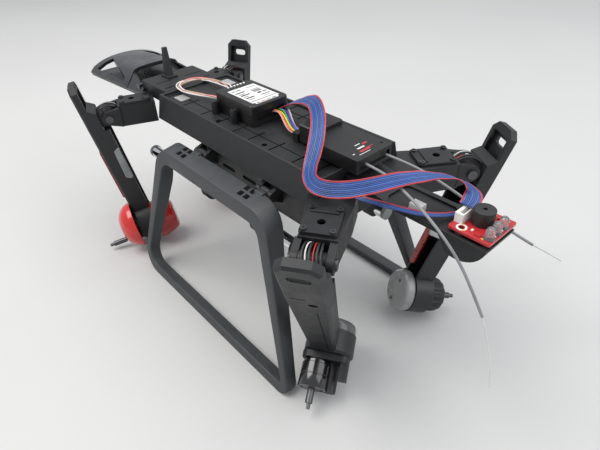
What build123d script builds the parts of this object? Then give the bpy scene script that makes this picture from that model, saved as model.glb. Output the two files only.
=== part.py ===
"""Folding-arm robot airframe: a ribbed chassis, four folded limbs, two loop skids and its electronics.

Millimetres. +X points to the sensor end, +Y to the left, +Z up. The skids stand on z = 0 and the
origin is under the middle of the whole body. Stations along the body are measured from the
middle of the skids, which stands MID_X ahead of the origin.
"""

import os
from dataclasses import dataclass
from math import cos, radians, sin, tan

from build123d import *

os.makedirs("parts", exist_ok=True)

# ---- driving dimensions ----
MID_X = 28.0  # the skids' middle, ahead of the origin
GAP = 0.2  # between pieces that are fixed together face to face
FIT = 0.05  # radial clearance of a running fit

RIM_Z = 160.6  # chassis rim
DECK_Z = 158.6  # ribbed deck, a little under the rim
CHASSIS_REAR = MID_X - 104.0
CHASSIS_FRONT = MID_X + 92.0
RIM_HALF = 35.0
SKIRT_HALF = 40.0
SKIRT_Z = 141.0
WALL = 2.4

KEEL_REAR = MID_X - 46.0
KEEL_FRONT = MID_X + 88.0
KEEL_HALF = 33.5
KEEL_Z = 112.0

HINGE_Z = 139.5  # limb hinges
HINGE_REACH = 22.0  # from the root plate's hole out to the hinge
BLOCK_TOP_Z = 148.5
BLOCK_LOW_Z = 129.5
PIN_R = 2.0

SKID_LEAN = 10.0  # degrees, feet outboard
SKID_FOOT_Y = 84.2
SKID_SHIFT = -3.5  # the loops' own middle against the stations' zero
SKID_HINGE_Y = 41.0
SKID_HINGE_Z = 132.2

BRACKET_HALF = 14.0

RAIL_Y = 38.0
RAIL_Z = 98.0
RAIL_R = 5.2


@dataclass
class Limb:
    """One folding limb: its root plate's hole, its heading and how far it hangs from vertical."""

    name: str
    station: float
    out: float
    heading: float  # degrees from the X axis
    lean: float  # degrees, foot inboard
    plate_half: float

    @property
    def side(self):
        return -1 if self.name.startswith("r") else 1

    @property
    def end(self):
        return 1 if self.station > 0 else -1

    @property
    def root(self):
        return Vector(MID_X + self.station, self.side * self.out, 0)

    @property
    def radial(self):
        angle = radians(self.heading)
        return Vector(self.end * cos(angle), self.side * sin(angle), 0)

    @property
    def root_plane(self):
        """Origin at the root hole on the floor, local X outward, local Z up."""
        return Plane(origin=self.root, x_dir=self.radial, z_dir=(0, 0, 1))

    @property
    def hinge_plane(self):
        """Origin on the hinge pin, local X down the limb, local Y its outer face, Z the pin."""
        lean = radians(self.lean)
        down = self.radial * -sin(lean) - Vector(0, 0, cos(lean))
        outward = self.radial * cos(lean) - Vector(0, 0, sin(lean))
        centre = self.root + self.radial * HINGE_REACH + Vector(0, 0, HINGE_Z)
        return Plane(origin=centre, x_dir=down, z_dir=down.cross(outward))


LIMBS = [
    Limb("rf", 112.5, 54.7, 57.0, 24.0, 11.0),
    Limb("lf", 112.5, 54.7, 57.0, 18.0, 11.0),
    Limb("rr", -139.8, 45.9, 69.0, 10.0, 9.0),
    Limb("lr", -139.8, 45.9, 69.0, 12.0, 9.0),
]


def write(part, name):
    """Label a finished piece and write its file."""
    part.label = name
    export_step(part, f"parts/{name}.step")


def across(x):
    """The plane across the body at x, with local X along +Y and local Y up."""
    return Plane(origin=(x, 0, 0), x_dir=(0, 1, 0), z_dir=(1, 0, 0))


def level(z):
    """The horizontal plane at height z."""
    return Plane.XY.offset(z)


# ---- chassis: a skirted tray with a ribbed deck ----
SKIRT = [
    (RIM_HALF, RIM_Z),
    (RIM_HALF + 3.2, 148.0),
    (SKIRT_HALF, SKIRT_Z),
    (-SKIRT_HALF, SKIRT_Z),
    (-RIM_HALF - 3.2, 148.0),
    (-RIM_HALF, RIM_Z),
]
UNDERSIDE = [
    (RIM_HALF - WALL, DECK_Z - 3),
    (SKIRT_HALF - WALL - 0.6, SKIRT_Z),
    (-SKIRT_HALF + WALL + 0.6, SKIRT_Z),
    (-RIM_HALF + WALL, DECK_Z - 3),
]
RIB_STATIONS = [-97.7, -72.7, -46.8, -25.0, -4.2, 14.3, 37.0, 60.9, 80.0]
TAIL_REAR = MID_X - 152.0
TAIL_HALF = 27.0
TAIL_Z = 159.0

with BuildPart() as chassis_tray:
    with BuildSketch(across(CHASSIS_REAR)):
        with BuildLine():
            Polyline(SKIRT, close=True)
        make_face()
    extrude(amount=CHASSIS_FRONT - CHASSIS_REAR)
    with BuildSketch(across(CHASSIS_REAR + WALL)):
        with BuildLine():
            Polyline(UNDERSIDE, close=True)
        make_face()
    extrude(amount=CHASSIS_FRONT - CHASSIS_REAR - 2 * WALL, mode=Mode.SUBTRACT)
    with BuildSketch(level(DECK_Z)):
        with Locations(((CHASSIS_REAR + CHASSIS_FRONT) / 2, 0)):
            RectangleRounded(CHASSIS_FRONT - CHASSIS_REAR - 4.4, 2 * RIM_HALF - 4.4, 3)
    extrude(amount=5, mode=Mode.SUBTRACT)
    # the tail deck, a lower step behind the rim
    with BuildSketch(level(TAIL_Z)):
        with Locations(((TAIL_REAR + CHASSIS_REAR) / 2, 0)):
            Rectangle(CHASSIS_REAR - TAIL_REAR, 2 * TAIL_HALF)
    extrude(amount=-4)
    with BuildSketch(level(TAIL_Z - 4)):
        for side in (-1, 1):
            with Locations(((TAIL_REAR + CHASSIS_REAR) / 2, side * (TAIL_HALF - 1.5))):
                Rectangle(CHASSIS_REAR - TAIL_REAR, 3)
    extrude(amount=-8)
    # slots between the deck's ribs, from both rims inward
    with BuildSketch(level(DECK_Z)):
        for station in RIB_STATIONS:
            for side in (-1, 1):
                with Locations((MID_X + station, side * 24.0)):
                    Rectangle(1.3, 17.0)
    extrude(amount=-1.6, mode=Mode.SUBTRACT)
    with BuildSketch(level(TAIL_Z)):
        for station in (-116.0, -132.0):
            for side in (-1, 1):
                with Locations((MID_X + station, side * 15.0)):
                    Rectangle(1.3, 16.0)
    extrude(amount=-1.4, mode=Mode.SUBTRACT)
    # two long grooves that part the middle of the deck from its sides
    with BuildSketch(level(DECK_Z)):
        for side in (-1, 1):
            with Locations((MID_X - 6.0, side * 21.5)):
                Rectangle(150.0, 0.9)
    extrude(amount=-0.8, mode=Mode.SUBTRACT)
    # screw holes by the rims
    with BuildSketch(level(DECK_Z)):
        for station in (-27.0, 29.0, 72.0):
            for side in (-1, 1):
                with Locations((MID_X + station, side * 28.0)):
                    Circle(2.1)
    extrude(amount=-4, mode=Mode.SUBTRACT)
    ridge = chassis_tray.edges().filter_by(Axis.X).group_by(Axis.Z)[-1]
    fillet(ridge, 0.8)
write(chassis_tray.part, "chassis_tray")

# ---- keel: the battery bay under the front two thirds of the tray ----
with BuildPart() as keel_box:
    with BuildSketch(level(KEEL_Z)):
        with Locations(((KEEL_REAR + KEEL_FRONT) / 2, 0)):
            RectangleRounded(KEEL_FRONT - KEEL_REAR, 2 * KEEL_HALF, 7)
    extrude(amount=SKIRT_Z - GAP - KEEL_Z)
    fillet(keel_box.faces().sort_by(Axis.Z)[0].edges(), 4)
    with BuildSketch(level(KEEL_Z + WALL)):
        with Locations(((KEEL_REAR + KEEL_FRONT) / 2, 0)):
            RectangleRounded(KEEL_FRONT - KEEL_REAR - 2 * WALL, 2 * KEEL_HALF - 2 * WALL, 5)
    extrude(amount=SKIRT_Z - KEEL_Z, mode=Mode.SUBTRACT)
    with BuildSketch(Plane.XZ.offset(KEEL_HALF)):
        with Locations((MID_X - 12.0, 126.0), (MID_X + 14.0, 126.0)):
            SlotOverall(16, 3.2)
    extrude(amount=-2 * KEEL_HALF, mode=Mode.SUBTRACT)
write(keel_box.part, "keel_box")

BATTERY_FLOOR = KEEL_Z + WALL + GAP
with BuildPart() as battery_pack:
    with BuildSketch(level(BATTERY_FLOOR)):
        with Locations((MID_X + 24.0, 0)):
            RectangleRounded(92, 46, 5)
    extrude(amount=19)
    fillet(battery_pack.faces().sort_by(Axis.Z)[-1].edges(), 2)
write(battery_pack.part, "battery_pack")

with BuildPart() as main_board:
    with BuildSketch(level(DECK_Z - 3 - 8)):
        with Locations((MID_X - 22.0, 0)):
            RectangleRounded(72, 52, 3)
    extrude(amount=1.6)
    with BuildSketch(level(DECK_Z - 3 - 6.4)):
        with Locations((MID_X - 40.0, 10), (MID_X - 10.0, -12)):
            Rectangle(12, 12)
        with Locations((MID_X - 40.0, -14), (MID_X - 4.0, 14)):
            Rectangle(8, 16)
    extrude(amount=2.2)
    with BuildSketch(level(DECK_Z - 3 - 6.4)):
        with GridLocations(64, 44, 2, 2):
            with Locations((MID_X - 22.0, 0)):
                Circle(2.6)
    extrude(amount=6.4)
write(main_board.part, "main_board")

# ---- tail hood: an arched visor behind the tail deck ----
HOOD_REAR = MID_X - 246.0
HOOD_EDGE = MID_X - 176.0  # the roof's front edge, clear of the deck
HOOD_FRONT = MID_X - 147.0
HOOD_THICK = 2.4
REAR_ARCH = [(41.0, 148.5), (25.0, 155.4), (9.0, 158.2)]
FRONT_ARCH = [(33.0, 146.8), (25.5, 156.5), (17.0, 162.6)]
HOOD_WINDOW = [(-238, 34.5), (-236, 16.5), (-222, 20.5), (-186, 28.5), (-186, 31)]


def arch(points):
    """A closed arch section from its right half, HOOD_THICK deep."""
    outer = points + [(-y, z) for y, z in reversed(points)]
    return outer + [(y * 0.96, z - HOOD_THICK) for y, z in reversed(outer)]


with BuildPart() as tail_hood:
    with BuildSketch(across(HOOD_REAR)):
        with BuildLine():
            Polyline(arch(REAR_ARCH), close=True)
        make_face()
    with BuildSketch(across(HOOD_EDGE)):
        with BuildLine():
            Polyline(arch(FRONT_ARCH), close=True)
        make_face()
    loft(ruled=True)
    # the open windows between the roof, the rear lip and the side rails
    with BuildSketch(level(130)):
        for side in (-1, 1):
            with BuildLine():
                Polyline([(MID_X + x, side * y) for x, y in HOOD_WINDOW], close=True)
            make_face()
    extrude(amount=60, mode=Mode.SUBTRACT)
    # the rear corners are rounded off in plan
    for side in (-1, 1):
        with BuildSketch(level(130)):
            with BuildLine():
                Polyline(
                    (HOOD_REAR - 1, side * 33.0),
                    (HOOD_REAR - 1, side * 45.0),
                    (HOOD_REAR + 9, side * 45.0),
                    (HOOD_REAR + 2.6, side * 38.5),
                    close=True,
                )
            make_face()
        extrude(amount=60, mode=Mode.SUBTRACT)
    # the sides run on past the roof's edge and drop to the deck's corners
    for side in (-1, 1):
        with BuildSketch(across(HOOD_EDGE - 1)):
            with BuildLine():
                Polyline(
                    [(side * y, z) for y, z in [(33, 144.5), (33, 147), (23, 159), (20.6, 159), (29.8, 144.5)]],
                    close=True,
                )
            make_face()
        with BuildSketch(across(HOOD_FRONT)):
            with BuildLine():
                Polyline(
                    [(side * y, z) for y, z in [(31.2, 144.5), (31.2, 149), (30.4, 152), (28.4, 152), (28.4, 144.5)]],
                    close=True,
                )
            make_face()
        loft(ruled=True)
        # the bottom rails
        with BuildSketch(across(HOOD_REAR + 5)):
            with BuildLine():
                Polyline(
                    [(side * y, z) for y, z in [(39.6, 145.5), (40.2, 149), (35.6, 150), (35.6, 145.5)]],
                    close=True,
                )
            make_face()
        with BuildSketch(across(HOOD_EDGE)):
            with BuildLine():
                Polyline(
                    [(side * y, z) for y, z in [(33, 144.5), (33, 148), (29.2, 149), (29.2, 144.5)]],
                    close=True,
                )
            make_face()
        loft(ruled=True)
    # the floor that closes the hood from below
    with BuildSketch(level(145.6)):
        with BuildLine():
            Polyline(
                (HOOD_REAR + 4, 36.5),
                (HOOD_EDGE, 31),
                (TAIL_REAR - 1, 30),
                (TAIL_REAR - 1, -30),
                (HOOD_EDGE, -31),
                (HOOD_REAR + 4, -36.5),
                close=True,
            )
        make_face()
    extrude(amount=1.6)
    # the tie bar behind the tail deck and the tongue that fixes the hood under it
    with BuildSketch(level(TAIL_Z - 4 - GAP)):
        with Locations((TAIL_REAR - 3.4, 0)):
            Rectangle(6, 61)
    extrude(amount=-5)
    with BuildSketch(level(TAIL_Z - 4 - GAP)):
        with Locations((TAIL_REAR + 3, 0)):
            Rectangle(18, 2 * TAIL_HALF - 7)
    extrude(amount=-3)
write(tail_hood.part, "tail_hood")

with BuildPart() as tail_post:
    with BuildSketch(level(TAIL_Z)):
        with Locations((MID_X - 142.5, -4.2)):
            Rectangle(7, 6.4)
    with BuildSketch(level(TAIL_Z + 25)):
        with Locations((MID_X - 145.5, -2.0)):
            Rectangle(3, 4)
    loft()
    with BuildSketch(level(TAIL_Z)):
        with Locations((MID_X - 141.0, -4.2)):
            Rectangle(13, 10)
    extrude(amount=1.6)
write(tail_post.part, "tail_post")

# ---- limb roots: blocks that carry the hinge ears, with their cover plates ----
EAR_IN = 8.0
EAR_OUT = 12.4
EAR_R = 6.0
PLATE_IN = -15.5
PLATE_OUT = 11.0
PLATE_THICK = 2.1
FRONT_BLOCK = [(13, -10.6), (13, 12), (-20, 15), (-48, 15), (-48, -16), (-35, -16)]
REAR_BLOCK = [(13, -9.2), (13, 9.2), (-12, 10), (-19, 15), (-19, -10)]


def root_block(limb):
    """A hollow block in its root frame, handed by the limb's side and end."""
    plan = FRONT_BLOCK if limb.end > 0 else REAR_BLOCK
    hand = -limb.side * limb.end
    with BuildPart() as block:
        with BuildSketch(level(BLOCK_LOW_Z)):
            with BuildLine():
                Polyline([(s, hand * t) for s, t in plan], close=True)
            make_face()
        extrude(amount=BLOCK_TOP_Z - BLOCK_LOW_Z)
        # the cable way, open to the limb
        with BuildSketch(across(13)):
            with Locations((0, 139.5)):
                RectangleRounded(13.4, 11, 2)
        extrude(amount=-24, mode=Mode.SUBTRACT)
        # the plate's recess
        with BuildSketch(level(BLOCK_TOP_Z)):
            with Locations((-2, 0)):
                Circle(5.6)
        extrude(amount=-5, mode=Mode.SUBTRACT)
        # the two hinge ears
        for side in (-1, 1):
            ear = Plane.XZ.offset(-side * EAR_IN)
            with BuildSketch(ear):
                with Locations((HINGE_REACH, HINGE_Z)):
                    Circle(EAR_R)
                with BuildLine():
                    Polyline(
                        (12, HINGE_Z + 8.0),
                        (HINGE_REACH, HINGE_Z + EAR_R),
                        (HINGE_REACH, HINGE_Z - EAR_R),
                        (12, HINGE_Z - 9.0),
                        close=True,
                    )
                make_face()
            extrude(amount=-side * (EAR_OUT - EAR_IN))
            with BuildSketch(ear):
                with Locations((HINGE_REACH, HINGE_Z)):
                    Circle(PIN_R)
            extrude(amount=-side * (EAR_OUT - EAR_IN), mode=Mode.SUBTRACT)
    return block.part


def chassis_room():
    """The space the tray and its deck take up, with a gap all round."""
    with BuildPart() as room:
        with BuildSketch(across(CHASSIS_REAR - GAP)):
            with BuildLine():
                Polyline(
                    [(y + (GAP + 0.1 if y > 0 else -GAP - 0.1), z) for y, z in SKIRT[:3]]
                    + [(SKIRT_HALF + GAP, 100), (-SKIRT_HALF - GAP, 100)]
                    + [(y + (GAP + 0.1 if y > 0 else -GAP - 0.1), z) for y, z in SKIRT[3:]],
                    close=True,
                )
            make_face()
        extrude(amount=CHASSIS_FRONT - CHASSIS_REAR + 2 * GAP)
        with BuildSketch(level(100)):
            with Locations(((TAIL_REAR + CHASSIS_REAR) / 2, 0)):
                Rectangle(CHASSIS_REAR - TAIL_REAR + 2 * GAP, 2 * TAIL_HALF + 2 * GAP)
        extrude(amount=80)
        with BuildSketch(level(100)):
            with Locations((CHASSIS_FRONT + 30, 0)):
                Rectangle(60, 2 * BRACKET_HALF + 2 * GAP)
        extrude(amount=80)
    return room.part


ROOM = chassis_room()
TUBE_X = MID_X + 83.0
TUBE_Y = RIM_HALF + 9.0
for limb in LIMBS:
    with BuildPart() as block:
        add(root_block(limb).moved(limb.root_plane.location))
        if limb.end > 0:
            with BuildSketch(level(BLOCK_LOW_Z + 6)):
                with Locations((TUBE_X, limb.side * TUBE_Y)):
                    Circle(3.6)
            extrude(amount=164.0 - BLOCK_LOW_Z - 6)
            with BuildSketch(level(164.0)):
                with Locations((TUBE_X, limb.side * TUBE_Y)):
                    Circle(2.2)
            extrude(amount=-14, mode=Mode.SUBTRACT)
        add(ROOM, mode=Mode.SUBTRACT)
    solids = block.part.solids().sort_by(SortBy.VOLUME)
    write(Part([solids[-1]]), f"root_block_{limb.name}")

SCREW_INSET = 2.6


def root_plate(limb):
    """A cover plate with a raised bar, a lip and its locking hole, in its root frame."""
    middle = (PLATE_IN + PLATE_OUT) / 2
    length = PLATE_OUT - PLATE_IN
    with BuildPart() as plate:
        with BuildSketch(level(BLOCK_TOP_Z)):
            with Locations((middle, 0)):
                RectangleRounded(length, 2 * limb.plate_half, 1.5)
        extrude(amount=PLATE_THICK)
        with BuildSketch(level(BLOCK_TOP_Z + PLATE_THICK)):
            with Locations((PLATE_IN + 6.2, 0)):
                Rectangle(1.6, 2 * limb.plate_half - 5)
        extrude(amount=0.9)
        with BuildSketch(level(BLOCK_TOP_Z)):
            Circle(2.6)
            with Locations((middle, 0)):
                with GridLocations(length - 2 * SCREW_INSET, 2 * (limb.plate_half - SCREW_INSET), 2, 2):
                    Circle(1.1)
        extrude(amount=8, mode=Mode.SUBTRACT)
        chamfer(plate.faces().sort_by(Axis.Z)[-1].edges(), 0.3)
    return plate.part


def root_screws(limb):
    """Four pan-head screws for a cover plate, in its root frame."""
    middle = (PLATE_IN + PLATE_OUT) / 2
    half_s = (PLATE_OUT - PLATE_IN) / 2 - SCREW_INSET
    half_t = limb.plate_half - SCREW_INSET
    spots = [(middle + a * half_s, b * half_t) for a in (-1, 1) for b in (-1, 1)]
    top = BLOCK_TOP_Z + PLATE_THICK
    with BuildPart() as screws:
        with BuildSketch(level(top)):
            with Locations(spots):
                Circle(1.9)
        extrude(amount=1.1)
        with BuildSketch(level(top + 1.1)):
            with Locations(spots):
                Rectangle(2.4, 0.5)
                Rectangle(0.5, 2.4)
        extrude(amount=-0.5, mode=Mode.SUBTRACT)
        with BuildSketch(level(top)):
            with Locations(spots):
                Circle(1.05)
        extrude(amount=-PLATE_THICK + 0.05)
    return screws.part


with BuildPart() as root_plates:
    for limb in LIMBS:
        add(root_plate(limb).moved(limb.root_plane.location))
write(root_plates.part, "root_plates")

with BuildPart() as plate_screws:
    for limb in LIMBS:
        add(root_screws(limb).moved(limb.root_plane.location))
write(plate_screws.part, "plate_screws")

with BuildPart() as hinge_pins:
    for limb in LIMBS:
        with BuildSketch(limb.hinge_plane.offset(-EAR_OUT)):
            Circle(PIN_R)
        extrude(amount=2 * EAR_OUT)
        for start, depth in ((-EAR_OUT, -1.6), (EAR_OUT, 1.6)):
            with BuildSketch(limb.hinge_plane.offset(start)):
                Circle(3.4)
            extrude(amount=depth)
write(hinge_pins.part, "hinge_pins")

# ---- limbs: forms in the hinge frame, for a left limb; right limbs mirror them ----
ARM_TOP = -34.0
ARM_HALF_TOP = 12.4
ARM_HALF_LOW = 9.4
ARM_OUT = 21.0  # outer face
ARM_IN = 4.0  # open inner edge of the channel
POD_L = 116.0
POD_SHIFT = 3.0
POD_R = 18.0
MOTOR_R = 7.4
SHAFT_R = 1.6
HUB_R = 2.6
KNUCKLE_HALF = EAR_IN - 0.35
ARM_OUTLINE = [
    (ARM_TOP, -ARM_HALF_TOP + 5),
    (ARM_TOP + 5, -ARM_HALF_TOP),
    (8, -ARM_HALF_TOP),
    (POD_L - 14, -ARM_HALF_LOW),
    (POD_L, -ARM_HALF_LOW),
    (POD_L, ARM_HALF_LOW),
    (POD_L - 14, ARM_HALF_LOW),
    (8, ARM_HALF_TOP),
    (ARM_TOP + 5, ARM_HALF_TOP),
    (ARM_TOP, ARM_HALF_TOP - 5),
]


def facing(o):
    """The plane parallel to the limb's outer face at depth o, local X down the limb."""
    return Plane(origin=(0, o, 0), x_dir=(1, 0, 0), z_dir=(0, 1, 0))


def inset(outline, amount):
    """The channel's inside: the outline drawn in by a wall's thickness."""
    return [(x, y - amount if y > 0 else y + amount) for x, y in outline]


with BuildPart() as shell_form:
    with BuildSketch(facing(ARM_IN)):
        with BuildLine():
            Polyline(ARM_OUTLINE, close=True)
        make_face()
        with Locations((POD_L, -POD_SHIFT)):
            Circle(POD_R)
    extrude(amount=ARM_OUT - ARM_IN)
    # the outer face draws in to a ridge along each side
    outer = shell_form.faces().sort_by(Axis.Y)[-1]
    chamfer(outer.edges(), 1.6)
    # the channel
    with BuildSketch(facing(ARM_IN)):
        with BuildLine():
            Polyline(inset(ARM_OUTLINE[2:8], 2.0), close=True)
        make_face()
        with Locations((POD_L, -POD_SHIFT)):
            Circle(POD_R - 2.2)
    extrude(amount=ARM_OUT - ARM_IN - 2.4, mode=Mode.SUBTRACT)
    # the thin locking end
    with BuildSketch(Plane.XY):
        with BuildLine():
            Polyline(
                (ARM_TOP - 1, ARM_IN - 1),
                (ARM_TOP - 1, 14.6),
                (-12.5, 14.6),
                (-8, 8.2),
                (8.5, 8.2),
                (8.5, ARM_IN - 1),
                close=True,
            )
        make_face()
    extrude(amount=20, both=True, mode=Mode.SUBTRACT)
    # the trough in the locking end, its hole and its latch step
    with BuildSketch(facing(14.6)):
        with Locations((-17, 0)):
            RectangleRounded(22, 2 * ARM_HALF_TOP - 7, 2)
    extrude(amount=3.6, mode=Mode.SUBTRACT)
    with BuildSketch(facing(ARM_OUT)):
        with Locations((-HINGE_REACH, 0)):
            SlotOverall(13, 5.4, rotation=90)
    extrude(amount=-12, mode=Mode.SUBTRACT)
    # room for the ears and the block's face as the limb swings
    with BuildSketch(Plane.XY):
        Circle(EAR_R + 0.9)
    extrude(amount=20, both=True, mode=Mode.SUBTRACT)
    # the knuckle between the ears
    with BuildSketch(Plane.XY):
        Circle(EAR_R)
        with BuildLine():
            Polyline(
                (-EAR_R * 0.7, 4.2), (-7.5, ARM_OUT - 2.2), (9, ARM_OUT - 2.2), (5.6, 2.0), close=True
            )
        make_face()
    extrude(amount=KNUCKLE_HALF, both=True)
    with BuildSketch(Plane.XY):
        Circle(PIN_R + FIT)
    extrude(amount=20, both=True, mode=Mode.SUBTRACT)
    # a small oval sight hole, a short tool mark and the long seam on the outer face
    with BuildSketch(facing(ARM_OUT)):
        with Locations((11, -3.5)):
            Ellipse(1.6, 2.9)
    extrude(amount=-6, mode=Mode.SUBTRACT)
    with BuildSketch(facing(ARM_OUT)):
        with Locations((4, 4.5)):
            Rectangle(0.8, 9)
        with Locations((61, -4.8)):
            Rectangle(78, 0.7)
    extrude(amount=-0.6, mode=Mode.SUBTRACT)


def lens_form(low_r, deep, tip_r, centre):
    """What closes the pod's inner side: a crowned disc or a deeper cup, with two screw holes."""
    with BuildPart() as lens:
        with BuildSketch(facing(ARM_IN - GAP)):
            with Locations(centre):
                Circle(low_r)
        with BuildSketch(facing(ARM_IN - GAP - deep)):
            with Locations(centre):
                Circle(tip_r)
        loft()
        fillet(lens.edges().filter_by(GeomType.CIRCLE).sort_by(Axis.Y)[0], min(2.4, deep * 0.4))
        with BuildSketch(facing(ARM_IN - GAP - deep)):
            with Locations(centre):
                with GridLocations(19.0, 1, 2, 1):
                    Circle(1.6)
        extrude(amount=1.6, mode=Mode.SUBTRACT)
    return lens.part


def motor_form(motor, shaft):
    """The motor can and the column that carries the output shaft."""
    with BuildPart() as form:
        with BuildSketch(facing(8)):
            with Locations(motor.centre):
                Circle(MOTOR_R)
        extrude(amount=motor.end - 8)
        fillet(form.edges().filter_by(GeomType.CIRCLE).sort_by(Axis.Y)[-1], 1.2)
        if shaft.centre != motor.centre:
            with BuildSketch(facing(8)):
                with Locations(shaft.centre):
                    Circle(4.6)
            extrude(amount=shaft.end - 8)
        with BuildSketch(facing(shaft.end)):
            with Locations(shaft.centre):
                Circle(SHAFT_R + FIT)
        extrude(amount=-18, mode=Mode.SUBTRACT)
    return form.part


def shaft_form(shaft, boss, tip):
    """The output shaft, with a journal for a hub from boss outward and a flat at its tip."""
    l, w = shaft.centre
    with BuildPart() as form:
        with BuildSketch(facing(shaft.end - 16)):
            with Locations((l, w)):
                Circle(SHAFT_R)
        extrude(amount=tip - shaft.end + 16)
        with BuildSketch(facing(boss)):
            with Locations((l, w)):
                Circle(HUB_R)
        extrude(amount=tip - 4 - boss)
        with BuildSketch(facing(tip)):
            with Locations((l, w + 2.2)):
                Rectangle(6, 2.4)
        extrude(amount=-3.5, mode=Mode.SUBTRACT)
    return form.part


def light_form(start, end, half, low, high, shift):
    """A translucent light strip along the limb."""
    with BuildPart() as light:
        with BuildSketch(facing(low)):
            with Locations(((start + end) / 2, shift)):
                SlotOverall(end - start, 2 * half)
        extrude(amount=high - low)
        fillet(light.faces().sort_by(Axis.Y)[-1 if high > ARM_OUT else 0].edges(), 0.6)
    return light.part


def hood_form(profile, centre, mouth, mouth_half, mouth_turn):
    """A hollow motor hood turned about the pod's axis, with an open mouth for the shaft."""
    with BuildPart() as hood:
        spin = Plane(origin=(centre[0], 0, -centre[1]), x_dir=(1, 0, 0), z_dir=(0, 0, 1))
        with BuildSketch(spin):
            with BuildLine():
                Polyline([(0, profile[0][1])] + profile + [(0, profile[-1][1])], close=True)
            make_face()
        axis = Axis((centre[0], 0, -centre[1]), (0, 1, 0))
        revolve(axis=axis)
        with BuildSketch(spin):
            inner = [(max(r - 1.8, 0.5), o - (0 if o == profile[0][1] else 1.8)) for r, o in profile]
            with BuildLine():
                Polyline([(0, profile[0][1])] + inner + [(0, inner[-1][1])], close=True)
            make_face()
        revolve(axis=axis, mode=Mode.SUBTRACT)
        turn = Plane(facing(ARM_OUT).origin, facing(ARM_OUT).x_dir, facing(ARM_OUT).z_dir)
        with BuildSketch(turn):
            with Locations(Location((centre[0], centre[1]), mouth_turn)):
                with Locations((mouth / 2, 0)):
                    Rectangle(mouth, 2 * mouth_half)
                Circle(mouth_half)
        extrude(amount=60, mode=Mode.SUBTRACT)
    return hood.part


@dataclass
class Spot:
    """A turned piece on the pod: its centre on the facing plane and how far out it ends."""

    centre: tuple
    end: float


REAR_HOOD = [(23.0, 21.3), (22.8, 24.0), (20.8, 29.0), (16.5, 34.0), (10.0, 37.2), (4.0, 38.0)]
FRONT_HOOD = [(14.6, 21.3), (14.6, 30.0), (13.0, 34.0), (9.0, 36.6), (3.0, 37.6)]
# each pod's motor, its shaft column, where the hub journal starts and the shaft's tip
PODS = {
    "rf": (Spot((115.0, 4.0), 46.0), Spot((115.0, 4.0), 46.0), 46.4, 60.0),
    "lf": (Spot((118.0, -3.0), 30.0), Spot((118.0, -3.0), 30.0), 38.6, 50.0),
    "rr": (Spot((110.0, -6.0), 33.0), Spot((126.0, -9.0), 29.0), 39.0, 56.0),
    "lr": (Spot((110.0, -6.0), 33.0), Spot((126.0, -9.0), 29.0), 39.0, 56.0),
}
LENSES = {
    1: lens_form(POD_R - 1.0, 8.5, 14.5, (POD_L + 1, -POD_SHIFT)),
    -1: lens_form(19.5, 21.0, 13.5, (POD_L + 1, -POD_SHIFT - 5)),
}
LIGHTS = {
    1: light_form(52, 94, 3.4, ARM_IN - 2.0, ARM_IN - GAP, 5.6),
    -1: light_form(30, 84, 3.4, ARM_OUT + GAP, ARM_OUT + 2.2, 0),
}
HOODS = {
    "lf": hood_form(FRONT_HOOD, (118.0, -3.0), 1.0, 4.6, 0),
    "rr": hood_form(REAR_HOOD, (112.5, -9.5), 30.0, 7.6, 0),
}
HOODS["lr"] = HOODS["rr"]

with BuildPart() as gear_case:
    with BuildSketch(facing(ARM_OUT + 4.8)):
        with Locations((120, -7.8)):
            Circle(4.8)
    extrude(amount=20)
    with BuildSketch(facing(ARM_OUT + 4.8)):
        with Locations((123, 11)):
            Circle(2.4)
    extrude(amount=12)
    with BuildSketch(facing(ARM_OUT + 4.8)):
        with Locations((111, -16.5)):
            RectangleRounded(9, 6, 1)
    extrude(amount=12)
    with BuildSketch(facing(ARM_OUT + GAP)):
        with Locations((115.5, -2.2)):
            RectangleRounded(20, 33.6, 5)
        with Locations((115, 4)):
            Circle(MOTOR_R + 0.1, mode=Mode.SUBTRACT)
    extrude(amount=4.6)

for limb in LIMBS:
    motor, shaft, boss, tip = PODS[limb.name]
    with BuildPart() as shell:
        add(shell_form.part)
        for spot, radius in ((motor, MOTOR_R + 0.1), (shaft, 4.7)):
            with BuildSketch(facing(ARM_IN)):
                with Locations(spot.centre):
                    Circle(radius)
            extrude(amount=30, mode=Mode.SUBTRACT)
    pieces = {
        "arm_shell": shell.part,
        "motor": motor_form(motor, shaft),
        "output_shaft": shaft_form(shaft, boss, tip),
        "pod_lens": LENSES[limb.end],
        "arm_light": LIGHTS[limb.end],
    }
    if limb.name in HOODS:
        pieces["motor_hood"] = HOODS[limb.name]
    else:
        pieces["gear_case"] = gear_case.part
    for name, form in pieces.items():
        handed = form if limb.side > 0 else mirror(form, about=Plane.XY)
        with BuildPart() as piece:
            add(handed.moved(limb.hinge_plane.location))
        write(piece.part, f"{name}_{limb.name}")

# ---- skids: leaning loops with a broad top plate, hinged on the keel ----
LEAN = radians(SKID_LEAN)
LOOP_X = MID_X + SKID_SHIFT
LOOP_H = 134.5
LOOP_OUTER = [(-108, 0), (110.5, 0), (70, LOOP_H), (-70, LOOP_H)]
LOOP_INNER = [(-99, 9), (101.5, 9), (61.5, LOOP_H - 11.5), (-61.5, LOOP_H - 11.5)]
KNUCKLES = (-31.8, 47.2)
KNUCKLE_LEN = 9.0
KNUCKLE_R = 3.6
SKID_PIN_R = 1.6


def loop_plane(side):
    """The loop's outboard face: local X along the body, local Y up along its lean."""
    foot = Vector(LOOP_X, side * SKID_FOOT_Y, 0)
    return Plane(origin=foot, x_dir=(-side, 0, 0), z_dir=(0, side * cos(LEAN), sin(LEAN)))


PLATE_RISE = radians(10.6)  # the top plate climbs inboard
PLATE_REACH = 15.4
PLATE_DEEP = 4.0
FRONT_FOOT_R = 9.0

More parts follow.
